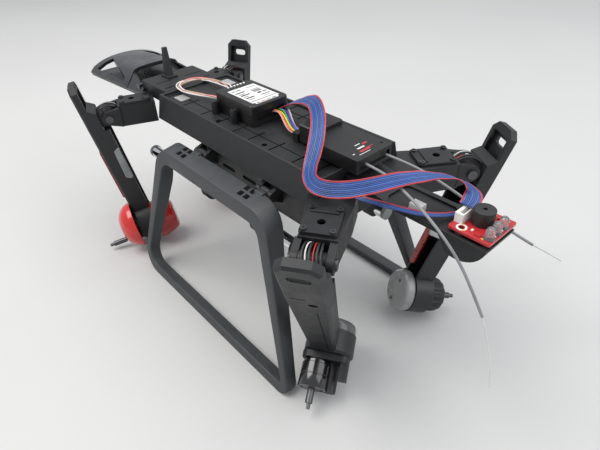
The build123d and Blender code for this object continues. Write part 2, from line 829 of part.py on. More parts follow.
for side, suffix in ((-1, "r"), (1, "l")):
    crease = Vector(LOOP_X, side * (SKID_FOOT_Y - LOOP_H * sin(LEAN)), LOOP_H * cos(LEAN))
    plate_plane = Plane(
        origin=crease,
        x_dir=(1, 0, 0),
        z_dir=(0, side * sin(PLATE_RISE), cos(PLATE_RISE)),
    )
    face_plane = loop_plane(side)
    front = -side  # the loop plane's own X runs forward on the right side only
    outer_points = [(front * x, y) for x, y in LOOP_OUTER]
    inner_points = [(front * x, y) for x, y in LOOP_INNER]
    with BuildPart() as loop:
        with BuildSketch(face_plane) as outline:
            with BuildLine():
                Polyline(outer_points, close=True)
            make_face()
            fillet(outline.vertices().group_by(Axis.Y)[-1], 22)
            feet = outline.vertices().group_by(Axis.Y)[0].sort_by(Axis.X)
            fillet(feet[0 if front < 0 else -1], FRONT_FOOT_R)
            fillet(outline.vertices().sort_by_distance((-front * 108, 0, 0))[0], 19)
        extrude(amount=-14)
        with BuildSketch(face_plane) as opening:
            with BuildLine():
                Polyline(inner_points, close=True)
            make_face()
            fillet(opening.vertices().group_by(Axis.Y)[-1], 13)
            feet = opening.vertices().group_by(Axis.Y)[0].sort_by(Axis.X)
            fillet(feet[0 if front < 0 else -1], 4)
            fillet(opening.vertices().sort_by_distance((-front * 99, 9, 0))[0], 13)
        extrude(amount=-14, mode=Mode.SUBTRACT)
        # the loop thins from its shoulder to its foot
        with BuildSketch(Plane.YZ.offset(LOOP_X - 120)):
            inner = side * (SKID_FOOT_Y - 10 * cos(LEAN))
            top = side * (SKID_FOOT_Y - LOOP_H * sin(LEAN) - 14 * cos(LEAN))
            with BuildLine():
                Polyline(
                    (inner, -10),
                    (top, LOOP_H + 12),
                    (top - side * 30, LOOP_H + 12),
                    (inner - side * 30, -10),
                    close=True,
                )
            make_face()
        extrude(amount=240, mode=Mode.SUBTRACT)
        # flat feet
        with BuildSketch(level(0)):
            with Locations((LOOP_X, side * SKID_FOOT_Y)):
                Rectangle(240, 60)
        extrude(amount=-10, mode=Mode.SUBTRACT)
        # the broad plate on top
        with BuildSketch(plate_plane) as plate:
            with BuildLine():
                Polyline(
                    (-52, -side * PLATE_REACH),
                    (52, -side * PLATE_REACH),
                    (66, -side * 6.0),
                    (62, 0),
                    (-62, 0),
                    (-66, -side * 6.0),
                    close=True,
                )
            make_face()
            fillet(plate.vertices().group_by(Axis.Y)[0 if side > 0 else -1], 8)
        extrude(amount=-PLATE_DEEP)
        # two by two square sight holes near each end of the plate
        with BuildSketch(plate_plane):
            for x in (-41.0, 40.0):
                with Locations((x, -side * 9.6)):
                    with GridLocations(6.4, 6.0, 2, 2):
                        RectangleRounded(4.6, 4.2, 0.6)
        extrude(amount=-18, mode=Mode.SUBTRACT)
        # the knuckles
        for x in KNUCKLES:
            with BuildSketch(Plane.YZ.offset(LOOP_X + x - KNUCKLE_LEN / 2)):
                with Locations((side * SKID_HINGE_Y, SKID_HINGE_Z)):
                    Circle(KNUCKLE_R)
                with BuildLine():
                    Polyline(
                        (side * SKID_HINGE_Y, SKID_HINGE_Z + KNUCKLE_R),
                        (side * 48.0, 134.6),
                        (side * 48.0, 130.9),
                        (side * SKID_HINGE_Y, SKID_HINGE_Z - KNUCKLE_R),
                        close=True,
                    )
                make_face()
            extrude(amount=KNUCKLE_LEN)
            with BuildSketch(Plane.YZ.offset(LOOP_X + x - KNUCKLE_LEN / 2)):
                with Locations((side * SKID_HINGE_Y, SKID_HINGE_Z)):
                    Circle(SKID_PIN_R + FIT)
            extrude(amount=KNUCKLE_LEN, mode=Mode.SUBTRACT)
        # small fixing holes in the front leg
        with BuildSketch(Plane.YZ.offset(LOOP_X)):
            with Locations((side * (SKID_FOOT_Y - 16), 34), (side * (SKID_FOOT_Y - 15), 27)):
                Circle(0.9)
        extrude(amount=130, mode=Mode.SUBTRACT)
    write(Part([loop.part.solids().sort_by(SortBy.VOLUME)[-1]]), f"skid_loop_{suffix}")

with BuildPart() as skid_mounts:
    for side in (-1, 1):
        for x in KNUCKLES:
            for end in (-1, 1):
                face = LOOP_X + x + end * (KNUCKLE_LEN / 2 + 0.35)
                with BuildSketch(Plane.YZ.offset(face)):
                    with Locations((side * SKID_HINGE_Y, SKID_HINGE_Z)):
                        Circle(KNUCKLE_R)
                    with BuildLine():
                        Polyline(
                            (side * (KEEL_HALF + GAP), SKID_HINGE_Z + 6),
                            (side * SKID_HINGE_Y, SKID_HINGE_Z + KNUCKLE_R),
                            (side * SKID_HINGE_Y, SKID_HINGE_Z - KNUCKLE_R),
                            (side * (KEEL_HALF + GAP), SKID_HINGE_Z - 8),
                            close=True,
                        )
                    make_face()
                extrude(amount=end * 3.2)
            with BuildSketch(Plane.YZ.offset(LOOP_X + x - KNUCKLE_LEN / 2 - 3.5)):
                with Locations((side * SKID_HINGE_Y, SKID_HINGE_Z)):
                    Circle(SKID_PIN_R)
            extrude(amount=KNUCKLE_LEN + 7)
write(skid_mounts.part, "skid_mounts")

# ---- accessory rails under the keel ----
RAIL_REAR = MID_X - 129.0
RAIL_FRONT = MID_X + 86.0
with BuildPart() as rails:
    for side in (-1, 1):
        with BuildSketch(across(RAIL_REAR)):
            with Locations((side * RAIL_Y, RAIL_Z)):
                Circle(RAIL_R)
                Circle(RAIL_R - 1, mode=Mode.SUBTRACT)
        extrude(amount=RAIL_FRONT - RAIL_REAR)
write(rails.part, "rails")

with BuildPart() as rail_caps:
    for side in (-1, 1):
        for x, way in ((RAIL_REAR, -1), (RAIL_FRONT, 1)):
            with BuildSketch(across(x + way * GAP)):
                with Locations((side * RAIL_Y, RAIL_Z)):
                    Circle(RAIL_R + 0.3)
            extrude(amount=way * 3)
            with BuildSketch(across(x + way * GAP)):
                with Locations((side * RAIL_Y, RAIL_Z)):
                    Circle(RAIL_R - 1.2)
            extrude(amount=-way * 6)
write(rail_caps.part, "rail_caps")

with BuildPart() as rail_clamps:
    for side in (-1, 1):
        for station in (-36.0, 30.0, 74.0):
            with BuildSketch(across(MID_X + station - 4)):
                with Locations((side * RAIL_Y, RAIL_Z)):
                    Circle(RAIL_R + 2.6)
                with BuildLine():
                    Polyline(
                        (side * (RAIL_Y + 3), RAIL_Z + 6),
                        (side * (KEEL_HALF - 2), KEEL_Z - GAP),
                        (side * (KEEL_HALF - 17), KEEL_Z - GAP),
                        (side * (RAIL_Y - 6), RAIL_Z - 2),
                        close=True,
                    )
                make_face()
                with Locations((side * RAIL_Y, RAIL_Z)):
                    Circle(RAIL_R + 0.02, mode=Mode.SUBTRACT)
            extrude(amount=8)
write(rail_clamps.part, "rail_clamps")

# ---- control box and receiver on the deck ----
BOX_REAR = MID_X - 44.0
BOX_FRONT = MID_X + 3.0
BOX_HALF = 17.5
BOX_TOP = 175.0
with BuildPart() as control_box:
    with BuildSketch(level(DECK_Z + GAP)):
        with Locations(((BOX_REAR + BOX_FRONT) / 2, 0)):
            RectangleRounded(BOX_FRONT - BOX_REAR, 2 * BOX_HALF, 3)
    extrude(amount=BOX_TOP - DECK_Z - GAP)
    fillet(control_box.faces().sort_by(Axis.Z)[-1].edges(), 1.8)
    # the parting line round the box
    with BuildSketch(level(166.4)):
        with Locations(((BOX_REAR + BOX_FRONT) / 2, 0)):
            RectangleRounded(BOX_FRONT - BOX_REAR + 2, 2 * BOX_HALF + 2, 4)
            RectangleRounded(BOX_FRONT - BOX_REAR - 0.8, 2 * BOX_HALF - 0.8, 2.6, mode=Mode.SUBTRACT)
    extrude(amount=0.5, mode=Mode.SUBTRACT)
    # the socket bay in the front face
    with BuildSketch(across(BOX_FRONT)):
        with Locations((0, 165.5)):
            Rectangle(26, 6.5)
    extrude(amount=-5, mode=Mode.SUBTRACT)
    # the label's recess
    with BuildSketch(level(BOX_TOP)):
        with Locations((MID_X - 17.5, 0)):
            RectangleRounded(32.6, 25.6, 1)
    extrude(amount=-0.4, mode=Mode.SUBTRACT)
write(control_box.part, "control_box")

with BuildPart() as control_label:
    with BuildSketch(level(BOX_TOP - 0.4)):
        with Locations((MID_X - 17.5, 0)):
            RectangleRounded(32, 25, 0.8)
    extrude(amount=0.45)
    # the pin row behind it
    with BuildSketch(level(BOX_TOP)):
        with Locations((BOX_REAR + 4.6, 0)):
            with GridLocations(1, 3.0, 1, 6):
                Circle(0.9)
    extrude(amount=0.7)
write(control_label.part, "control_label")

with BuildPart() as box_posts:
    for station, out in ((-15.0, 21.0), (-40.0, 21.0)):
        for side in (-1, 1):
            with BuildSketch(level(DECK_Z)):
                with Locations((MID_X + station, side * out)):
                    Circle(2.9)
            extrude(amount=9)
            with BuildSketch(level(DECK_Z + 9)):
                with Locations((MID_X + station, side * out)):
                    Circle(2.3)
                    Rectangle(3, 0.6, mode=Mode.SUBTRACT)
            extrude(amount=1.2)
write(box_posts.part, "box_posts")

RECEIVER_REAR = MID_X + 61.0
RECEIVER_FRONT = MID_X + 104.0
with BuildPart() as receiver:
    with BuildSketch(level(RIM_Z + 0.3)):
        with Locations(((RECEIVER_REAR + RECEIVER_FRONT) / 2, 0)):
            RectangleRounded(RECEIVER_FRONT - RECEIVER_REAR, 33, 1.2)
    extrude(amount=9.4)
    with BuildSketch(level(RIM_Z + 0.3)):
        with Locations((MID_X + 53.0, 3)):
            RectangleRounded(16.4, 26, 1.2)
    extrude(amount=12.6)
    chamfer(receiver.faces().filter_by(Axis.Z).sort_by(Axis.Z)[-1].edges(), 0.8)
    with BuildSketch(level(RIM_Z + 9.7)):
        with Locations((MID_X + 98.0, 12.4)):
            Circle(0.8)
    extrude(amount=-1, mode=Mode.SUBTRACT)
    with BuildSketch(across(RECEIVER_FRONT)):
        with Locations((0, RIM_Z + 5)):
            Rectangle(27, 5)
    extrude(amount=-1.4, mode=Mode.SUBTRACT)
write(receiver.part, "receiver")

with BuildPart() as lead_plug:
    with BuildSketch(level(DECK_Z + 1.0)):
        with Locations((MID_X + 41.2, -4.5)):
            RectangleRounded(6.0, 12, 0.8)
    extrude(amount=6)
write(lead_plug.part, "lead_plug")

# ---- front bracket with its sensor board ----
BOARD_Z = 152.4
with BuildPart() as sensor_bracket:
    with BuildSketch(Plane.XZ.offset(BRACKET_HALF)):
        with BuildLine():
            Line((CHASSIS_FRONT + GAP, 156), (CHASSIS_FRONT + GAP, 144))
            Line((CHASSIS_FRONT + GAP, 144), (MID_X + 112, 147.6))
            Line((MID_X + 112, 147.6), (MID_X + 162, 147.6))
            Line((MID_X + 162, 147.6), (MID_X + 168, 138))
            chin = ThreePointArc((MID_X + 168, 138), (MID_X + 183, 139.5), (MID_X + 191, 151))
            Line(chin @ 1, (MID_X + 124, 150.6))
            Line((MID_X + 124, 150.6), (CHASSIS_FRONT + GAP, 156))
        make_face()
    extrude(amount=-2 * BRACKET_HALF)
    # the scoop's hollow, between two cheeks
    with BuildSketch(Plane.XZ.offset(BRACKET_HALF - 2.4)):
        with BuildLine():
            Line((MID_X + 167, 152), (MID_X + 170.5, 140.4))
            floor_line = ThreePointArc((MID_X + 170.5, 140.4), (MID_X + 180, 141.6), (MID_X + 186, 152))
            Line(floor_line @ 1, (MID_X + 167, 152))
        make_face()
    extrude(amount=-2 * (BRACKET_HALF - 2.4), mode=Mode.SUBTRACT)
    # a shallow channel along the neck
    with BuildSketch(level(149.4)):
        with Locations((MID_X + 141, 0)):
            RectangleRounded(38, 2 * BRACKET_HALF - 7, 4)
    extrude(amount=4, mode=Mode.SUBTRACT)
    # bosses for the board
    with BuildSketch(level(140)):
        with Locations((MID_X + 172.5, -9.6), (MID_X + 172.5, 9.6)):
            Circle(2.6)
    extrude(amount=BOARD_Z - GAP - 140)
    with BuildSketch(level(149)):
        with Locations((MID_X + 188, -8), (MID_X + 188, 8)):
            Circle(1.8)
    extrude(amount=BOARD_Z - GAP - 149)
write(sensor_bracket.part, "sensor_bracket")

BOARD_X = MID_X + 178.0
BOARD_TOP = BOARD_Z + 1.6
with BuildPart() as sensor_board:
    with BuildSketch(level(BOARD_Z)):
        with Locations((BOARD_X, 2.5)):
            RectangleRounded(25, 28, 1.2)
        with Locations((BOARD_X - 6, -8)):
            Circle(1.6, mode=Mode.SUBTRACT)
    extrude(amount=1.6)
    # chips
    with BuildSketch(level(BOARD_TOP)):
        with Locations((BOARD_X + 3.6, -8.4)):
            Rectangle(3.4, 2.0)
        with Locations((BOARD_X + 3.4, 12.4)):
            Rectangle(2.2, 1.3)
        with Locations((BOARD_X - 9.5, 14)):
            Rectangle(3, 2)
    extrude(amount=0.9)
write(sensor_board.part, "sensor_board")

with BuildPart() as buzzer:
    with BuildSketch(level(BOARD_TOP)):
        with Locations((BOARD_X - 0.6, 3.5)):
            Circle(6)
    extrude(amount=9)
    fillet(buzzer.edges().filter_by(GeomType.CIRCLE).sort_by(Axis.Z)[-1], 0.5)
    with BuildSketch(level(BOARD_TOP + 9)):
        with Locations((BOARD_X - 0.6, 3.5)):
            Circle(1.2)
    extrude(amount=-2.5, mode=Mode.SUBTRACT)
write(buzzer.part, "buzzer")

with BuildPart() as leds:
    for y in (-6.5, 0.2, 6.9):
        with Locations((BOARD_X + 9.4, y, BOARD_TOP)):
            Cylinder(2.9, 1.0, align=(Align.CENTER, Align.CENTER, Align.MIN))
            Cylinder(2.45, 5.0, align=(Align.CENTER, Align.CENTER, Align.MIN))
        with Locations((BOARD_X + 9.4, y, BOARD_TOP + 5.0)):
            Sphere(2.45)
write(leds.part, "leds")

with BuildPart() as white_sockets:
    with BuildSketch(level(BOARD_TOP)):
        with Locations((BOARD_X - 9.8, 0.5)):
            Rectangle(5.0, 13)
    extrude(amount=6)
    with BuildSketch(level(BOARD_TOP + 6)):
        with Locations((BOARD_X - 9.2, 0.5)):
            Rectangle(2.6, 10.4)
    extrude(amount=-3.5, mode=Mode.SUBTRACT)
    with BuildSketch(level(149.6)):
        with Locations((MID_X + 142, -6)):
            Rectangle(8, 6)
    extrude(amount=4.4)
write(white_sockets.part, "white_sockets")


# ---- leads: ribbon, wires and antennas ----
def route(points, radius, name):
    """A round lead along straight runs joined by arcs as large as the runs allow."""
    corners = []
    spots = [Vector(*p) for p in points]
    for before, here, after in zip(spots, spots[1:], spots[2:]):
        first, second = here - before, after - here
        turn = radians(first.get_angle(second))
        corners.append(0.45 * min(first.length, second.length) / tan(turn / 2))
    print(name, "radii", [round(r, 1) for r in corners])
    with BuildPart() as lead:
        with BuildLine() as path:
            FilletPolyline(*points, radius=corners)
        with BuildSketch(Plane(origin=path.wires()[0] @ 0, z_dir=path.wires()[0] % 0)):
            Circle(radius)
        sweep()
    print(name, "length", round(path.wires()[0].length, 1))
    write(lead.part, name)


RIBBON = [
    (31, 12, 166.4), (40, 12.5, 172), (52, 11.5, 177.8), (64, 8.8, 182.5), (76, 2.8, 184.5),
    (87, -5, 181.5), (96, -14.5, 175.5), (103, -24.5, 168.5), (109, -34.5, 163), (118, -42, 161.2),
    (129.5, -42.5, 161.6), (141, -35.5, 163), (151, -25, 165.8), (160, -13.5, 169), (169, -2.5, 170.4),
    (178, 7, 170.2), (187, 11.5, 168.4), (193.6, 10.5, 165.8), (196.2, 6, 163.2), (196.2, 1.5, 161.4),
]
route(RIBBON, 1.2, "ribbon_cable")

SIDE_RIBBON = [
    (120.4, -20, 151.5), (131, -24.5, 153.5), (143, -25.5, 154), (155, -21.5, 154),
    (167, -16.5, 153.5), (178, -11.5, 153.2), (187, -5, 153.6), (192.2, 4, 153.4),
]
route(SIDE_RIBBON, 0.8, "side_ribbon")

ANTENNA_FRONT = [
    (132.2, -9, 166), (143, -9.5, 166), (155, -12, 166), (168, -15.5, 164), (181, -18, 160.5),
    (194, -19.5, 154), (207, -20, 144), (218, -20.5, 131), (228, -20, 115), (235, -19.5, 98),
    (240, -19, 81), (242.5, -19, 66),
]
route(ANTENNA_FRONT, 0.8, "antenna_front")

ANTENNA_SIDE = [
    (132.2, 10, 165), (144, 13, 163.4), (158, 17.5, 159.4), (173, 20.5, 154), (188, 21.5, 149.5),
    (202, 23, 145), (214, 27, 139), (224, 34.5, 131.5), (231, 45, 123), (235.5, 57, 113),
]
route(ANTENNA_SIDE, 0.8, "antenna_side")

REAR_LEADS = [
    (-17.5, 4, 166), (-26, 5, 167), (-36, 8.5, 166), (-47, 11.5, 164), (-58, 13, 163),
    (-69, 11.5, 162.8), (-78, 6, 162.6), (-83, -2, 162.4), (-82, -10.5, 162), (-75, -16.5, 162.2),
    (-65, -18.5, 162), (-54, -16.8, 162.4), (-43, -12.8, 162.8), (-32, -9.8, 163.4), (-23.5, -8.6, 163.8),
    (-16.3, -8.2, 163.9),
]
route(REAR_LEADS, 1.4, "rear_leads")

RAINBOW = [
    (31, 7, 166), (36.8, 6.2, 167.4), (42.8, 3.8, 166.9), (48.8, 0.8, 165.2), (54.6, -1.8, 163.5),
    (60.4, -3.4, 162.6), (65.9, -4.3, 162.4),
]
route(RAINBOW, 1.6, "rainbow_wires")

with BuildPart() as tape_pieces:
    with BuildSketch(level(DECK_Z + 0.1)):
        with Locations((-60, 24)):
            RectangleRounded(14, 9, 1)
        with Locations((-58, -24)):
            RectangleRounded(12, 9, 1)
    extrude(amount=0.6)
write(tape_pieces.part, "tape_pieces")
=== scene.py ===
"""Looks of the folding-arm robot airframe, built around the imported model. Metres."""

import math

import bmesh
import bpy
from mathutils import Matrix, Vector


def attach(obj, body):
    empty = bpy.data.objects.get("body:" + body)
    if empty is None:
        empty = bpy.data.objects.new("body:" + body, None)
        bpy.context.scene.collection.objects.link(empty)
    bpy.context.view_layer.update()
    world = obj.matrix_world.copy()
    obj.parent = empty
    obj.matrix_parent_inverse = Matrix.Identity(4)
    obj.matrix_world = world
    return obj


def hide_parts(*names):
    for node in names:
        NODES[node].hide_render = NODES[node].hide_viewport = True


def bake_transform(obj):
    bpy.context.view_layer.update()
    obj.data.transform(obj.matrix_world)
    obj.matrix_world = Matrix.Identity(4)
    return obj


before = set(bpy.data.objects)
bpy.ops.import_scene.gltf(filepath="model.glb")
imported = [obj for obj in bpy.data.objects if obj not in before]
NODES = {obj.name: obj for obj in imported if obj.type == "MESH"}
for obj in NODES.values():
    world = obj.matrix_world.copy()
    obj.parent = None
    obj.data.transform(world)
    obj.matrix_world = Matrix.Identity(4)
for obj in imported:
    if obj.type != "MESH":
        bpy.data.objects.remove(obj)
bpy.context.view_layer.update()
MM = 0.001
MID_X = 28.0


def mm(*values):
    """A point given in millimetres, in metres."""
    return Vector(v * MM for v in values)


# ---- camera: the viewing angle, with a slight roll ----
AZIMUTH, ELEVATION, ROLL = (math.radians(a) for a in (49.144, 36.840, -2.264))
CAMERA_PLACE = (268.389 + MID_X, -205.566, 311.184)
SENSOR_WIDTH = 36.0
LENS = 28.70
back = Vector(
    (
        math.sin(AZIMUTH) * math.cos(ELEVATION),
        -math.cos(AZIMUTH) * math.cos(ELEVATION),
        math.sin(ELEVATION),
    )
)
right = (-back).cross(Vector((0, 0, 1))).normalized()
upward = right.cross(-back)
cam_x = math.cos(ROLL) * right + math.sin(ROLL) * upward
cam_y = -math.sin(ROLL) * right + math.cos(ROLL) * upward
camera = bpy.data.objects.new("camera", bpy.data.cameras.new("camera"))
bpy.context.scene.collection.objects.link(camera)
turned = Matrix((cam_x, cam_y, back)).transposed().to_4x4()
camera.matrix_world = Matrix.Translation(mm(*CAMERA_PLACE)) @ turned
camera.data.sensor_width = SENSOR_WIDTH
camera.data.lens = LENS
camera.data.clip_start = 0.01
bpy.context.scene.camera = camera


# ---- materials ----
def node(tree, kind, **values):
    made = tree.nodes.new(kind)
    for key, value in values.items():
        if hasattr(made, key):
            setattr(made, key, value)
        else:
            made.inputs[key.replace("_", " ")].default_value = value
    return made


def material(
    name,
    color,
    rough=0.5,
    vary=0.25,
    grain=1400.0,
    bump=0.08,
    metallic=0.0,
    coat=0.0,
    transmission=0.0,
    blotch=60.0,
    rough_vary=0.12,
    scratch=0.0,
):
    """A surface with mottled colour, uneven gloss and a fine moulded or brushed grain."""
    made = bpy.data.materials.new(name)
    made.use_nodes = True
    tree = made.node_tree
    shader = tree.nodes["Principled BSDF"]
    where = tree.nodes.new("ShaderNodeTexCoord")
    wide = node(tree, "ShaderNodeTexNoise", Scale=blotch, Detail=4.0, Roughness=0.6)
    fine = node(tree, "ShaderNodeTexNoise", Scale=grain, Detail=3.0, Roughness=0.55)
    tree.links.new(where.outputs["Object"], wide.inputs["Vector"])
    tree.links.new(where.outputs["Object"], fine.inputs["Vector"])
    ramp = tree.nodes.new("ShaderNodeValToRGB")
    low = [c * (1 - vary) for c in color[:3]] + [1]
    high = [min(1.0, c * (1 + vary)) for c in color[:3]] + [1]
    ramp.color_ramp.elements[0].position = 0.3
    ramp.color_ramp.elements[1].position = 0.7
    ramp.color_ramp.elements[0].color = low
    ramp.color_ramp.elements[1].color = high
    tree.links.new(wide.outputs["Fac"], ramp.inputs["Fac"])
    tree.links.new(ramp.outputs["Color"], shader.inputs["Base Color"])
    gloss = node(tree, "ShaderNodeMapRange")
    gloss.inputs["From Min"].default_value = 0.3
    gloss.inputs["From Max"].default_value = 0.7
    gloss.inputs["To Min"].default_value = max(0.02, rough - rough_vary)
    gloss.inputs["To Max"].default_value = min(1.0, rough + rough_vary)
    tree.links.new(wide.outputs["Fac"], gloss.inputs["Value"])
    tree.links.new(gloss.outputs["Result"], shader.inputs["Roughness"])
    relief = node(tree, "ShaderNodeBump", Strength=bump, Distance=0.0004)
    tree.links.new(fine.outputs["Fac"], relief.inputs["Height"])
    if scratch:
        stretched = node(tree, "ShaderNodeMapping")
        stretched.inputs["Scale"].default_value = (8.0, 900.0, 900.0)
        lines = node(tree, "ShaderNodeTexNoise", Scale=1.0, Detail=6.0, Roughness=0.7)
        tree.links.new(where.outputs["Object"], stretched.inputs["Vector"])
        tree.links.new(stretched.outputs["Vector"], lines.inputs["Vector"])
        brushed = node(tree, "ShaderNodeBump", Strength=scratch, Distance=0.0002)
        tree.links.new(lines.outputs["Fac"], brushed.inputs["Height"])
        tree.links.new(relief.outputs["Normal"], brushed.inputs["Normal"])
        relief = brushed
    tree.links.new(relief.outputs["Normal"], shader.inputs["Normal"])
    shader.inputs["Metallic"].default_value = metallic
    shader.inputs["Coat Weight"].default_value = coat
    shader.inputs["Coat Roughness"].default_value = 0.08
    shader.inputs["Transmission Weight"].default_value = transmission
    return made


BLACK = material("black_shell", (0.0095, 0.0100, 0.0112), 0.50, 0.3, 1500, 0.12)
BLACK_DECK = material("black_deck", (0.0105, 0.0112, 0.0125), 0.54, 0.3, 1700, 0.16)
ARM_GREY = material("arm_shell", (0.0115, 0.0122, 0.0138), 0.45, 0.28, 1500, 0.1)
HOOD_GREY = material("hood_shell", (0.0155, 0.0165, 0.0185), 0.34, 0.25, 1500, 0.05, coat=0.2)
LOOP_GREY = material("loop_shell", (0.040, 0.044, 0.047), 0.50, 0.16, 1600, 0.1)
CASE_BLACK = material("control_case", (0.0085, 0.0085, 0.0092), 0.40, 0.3, 2200, 0.22)
DARK_STEEL = material("dark_steel", (0.10, 0.10, 0.105), 0.34, 0.25, 900, 0.04, metallic=0.9)
CHROME = material(
    "chrome_tube", (0.74, 0.74, 0.75), 0.12, 0.08, 500, 0.01, metallic=1.0, scratch=0.06, rough_vary=0.05
)
CAP_GREY = material("cap_grey", (0.26, 0.27, 0.27), 0.62, 0.2, 900, 0.1)
RED_GLOSS = material("red_cover", (0.56, 0.012, 0.010), 0.22, 0.1, 900, 0.02, coat=0.6, rough_vary=0.06)
RED_DEEP = material("red_cup", (0.36, 0.008, 0.008), 0.28, 0.14, 900, 0.02, coat=0.5, rough_vary=0.06)
SMOKE = material("smoke_lens", (0.085, 0.085, 0.088), 0.26, 0.16, 700, 0.05, coat=0.4)
PLATE_GREY = material("plate_grey", (0.42, 0.42, 0.42), 0.40, 0.14, 900, 0.04, metallic=0.3)
CAN_BLACK = material("motor_can", (0.010, 0.010, 0.011), 0.16, 0.2, 900, 0.02, coat=0.7, rough_vary=0.05)
LENS_GREY = material("grey_lens", (0.36, 0.36, 0.36), 0.3, 0.14, 700, 0.06, coat=0.3, transmission=0.25)
LIGHT_RED = material("red_light", (0.40, 0.022, 0.022), 0.24, 0.25, 500, 0.05, coat=0.5, transmission=0.2)
WHITE = material("white_plastic", (0.74, 0.74, 0.71), 0.5, 0.08, 900, 0.03)
BOARD_RED = material("red_board", (0.42, 0.018, 0.022), 0.32, 0.18, 700, 0.05, coat=0.4)
BOARD_GREEN = material("green_board", (0.02, 0.16, 0.06), 0.35, 0.2, 700, 0.05, coat=0.3)
BUZZER = material("buzzer_black", (0.014, 0.014, 0.014), 0.36, 0.3, 1200, 0.1)
CLEAR = material("clear_led", (0.86, 0.88, 0.90), 0.08, 0.04, 300, 0.0, transmission=0.85, rough_vary=0.03)
TAPE = material("tape", (0.46, 0.46, 0.44), 0.34, 0.2, 500, 0.2, transmission=0.3)
BATTERY = material("battery", (0.05, 0.05, 0.055), 0.5, 0.2, 900, 0.06)
LABEL = material("label_paper", (0.62, 0.62, 0.60), 0.55, 0.06, 900, 0.02)
INK = material("label_ink", (0.03, 0.03, 0.032), 0.6, 0.2, 900, 0.02)
SILVER_INK = material("silver_ink", (0.22, 0.22, 0.23), 0.45, 0.1, 900, 0.02)
# painted shade: a dark navy for the flanks of the grooves between a flat cable's wires, where shade falls
RIBBON_GROOVE_SHADE = material("ribbon_groove_shade", (0.006, 0.012, 0.06), 0.5, 0.16, 1200, 0.03)
RIBBON_BLUE = material("ribbon_blue", (0.014, 0.062, 0.27), 0.38, 0.16, 1200, 0.03, coat=0.15)
RIBBON_PALE = material("ribbon_pale", (0.030, 0.115, 0.40), 0.38, 0.16, 1200, 0.03, coat=0.15)
RIBBON_RED = material("ribbon_red", (0.40, 0.022, 0.040), 0.36, 0.16, 1200, 0.03, coat=0.2)
GOLD = material("contact_gold", (0.72, 0.50, 0.18), 0.3, 0.1, 700, 0.02, metallic=1.0)
ANTENNA_GREY = material("antenna_grey", (0.24, 0.24, 0.25), 0.5, 0.15, 900, 0.03)
ANTENNA_WHITE = material("antenna_white", (0.66, 0.66, 0.64), 0.5, 0.1, 900, 0.03)
WIRES = {
    "black": (0.012, 0.012, 0.013),
    "red": (0.50, 0.02, 0.02),
    "white": (0.68, 0.67, 0.64),
    "pink": (0.62, 0.30, 0.30),
    "tan": (0.52, 0.36, 0.24),
    "orange": (0.70, 0.20, 0.03),
    "yellow": (0.72, 0.58, 0.05),
    "green": (0.06, 0.34, 0.10),
    "blue": (0.04, 0.12, 0.45),
    "purple": (0.20, 0.06, 0.34),
    "grey": (0.25, 0.25, 0.26),
    "brown": (0.16, 0.07, 0.035),
}
WIRES = {
    name: material("wire_" + name, color, 0.42, 0.12, 900, 0.03, coat=0.1) for name, color in WIRES.items()
}

CAD_LOOKS = {
    "chassis_tray": BLACK_DECK,
    "keel_box": BLACK,
    "battery_pack": BATTERY,
    "main_board": BOARD_GREEN,
    "tail_post": BLACK,
    "root_block": BLACK,
    "root_plates": BLACK,
    "plate_screws": DARK_STEEL,
    "hinge_pins": DARK_STEEL,
    "control_box": CASE_BLACK,
    "control_label": WHITE,
    "box_posts": BLACK,
    "lead_plug": BLACK,
    "receiver": CASE_BLACK,
    "sensor_bracket": BLACK,
    "sensor_board": BOARD_RED,
    "buzzer": BUZZER,
    "leds": CLEAR,
    "white_sockets": WHITE,
    "rails": CHROME,
    "rail_caps": CAP_GREY,
    "rail_clamps": BLACK,
    "skid_mounts": BLACK,
    "arm_shell": ARM_GREY,
    "gear_case": BLACK,
    "motor_hood": RED_GLOSS,
    "motor_hood_lf": BLACK,
    "motor": DARK_STEEL,
    "output_shaft": DARK_STEEL,
    "pod_lens_rf": SMOKE,
    "pod_lens_lf": LENS_GREY,
    "pod_lens": RED_DEEP,
    "arm_light": LIGHT_RED,
    "tape_pieces": TAPE,
    "skid_loop": LOOP_GREY,
    "tail_hood": HOOD_GREY,
}
for name, piece in NODES.items():
    match = [key for key in CAD_LOOKS if name.startswith(key)]
    if match:
        piece.data.materials.clear()
        piece.data.materials.append(CAD_LOOKS[max(match, key=len)])


# ---- makers ----
def link(name, data, look, body, replaced=()):
    made = bpy.data.objects.new(name, data)
    bpy.context.scene.collection.objects.link(made)
    if look is not None:
        for one in look if isinstance(look, (list, tuple)) else [look]:
            data.materials.append(one)
    if replaced:
        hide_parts(*replaced)
    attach(made, body)
    return made


def shade(data, degrees=35.0):
    """Smooth shading that keeps the edges sharper than an angle."""
    for face in data.polygons:
        face.use_smooth = True
    shaped = bmesh.new()
    shaped.from_mesh(data)
    for edge in shaped.edges:
        if len(edge.link_faces) == 2:
            edge.smooth = edge.calc_face_angle(0.0) < math.radians(degrees)
    shaped.to_mesh(data)
    shaped.free()


def applied(made):
    """The object with its modifiers worked in."""
    bpy.context.view_layer.update()
    graph = bpy.context.evaluated_depsgraph_get()
    data = bpy.data.meshes.new_from_object(made.evaluated_get(graph))
    old = made.data
    made.modifiers.clear()
    made.data = data
    bpy.data.meshes.remove(old)
    return made


def mesh(name, verts, faces):
    data = bpy.data.meshes.new(name)
    data.from_pydata([tuple(v) for v in verts], [], faces)
    data.validate()
    shaped = bmesh.new()
    shaped.from_mesh(data)
    bmesh.ops.recalc_face_normals(shaped, faces=shaped.faces)
    shaped.to_mesh(data)
    shaped.free()
    return data


def bevelled(made, width, segments=2, degrees=30):
    rounded = made.modifiers.new("bevel", "BEVEL")
    rounded.width = width * MM
    rounded.segments = segments
    rounded.limit_method = "ANGLE"
    rounded.angle_limit = math.radians(degrees)
    applied(made)
    shade(made.data, 45)
    return made


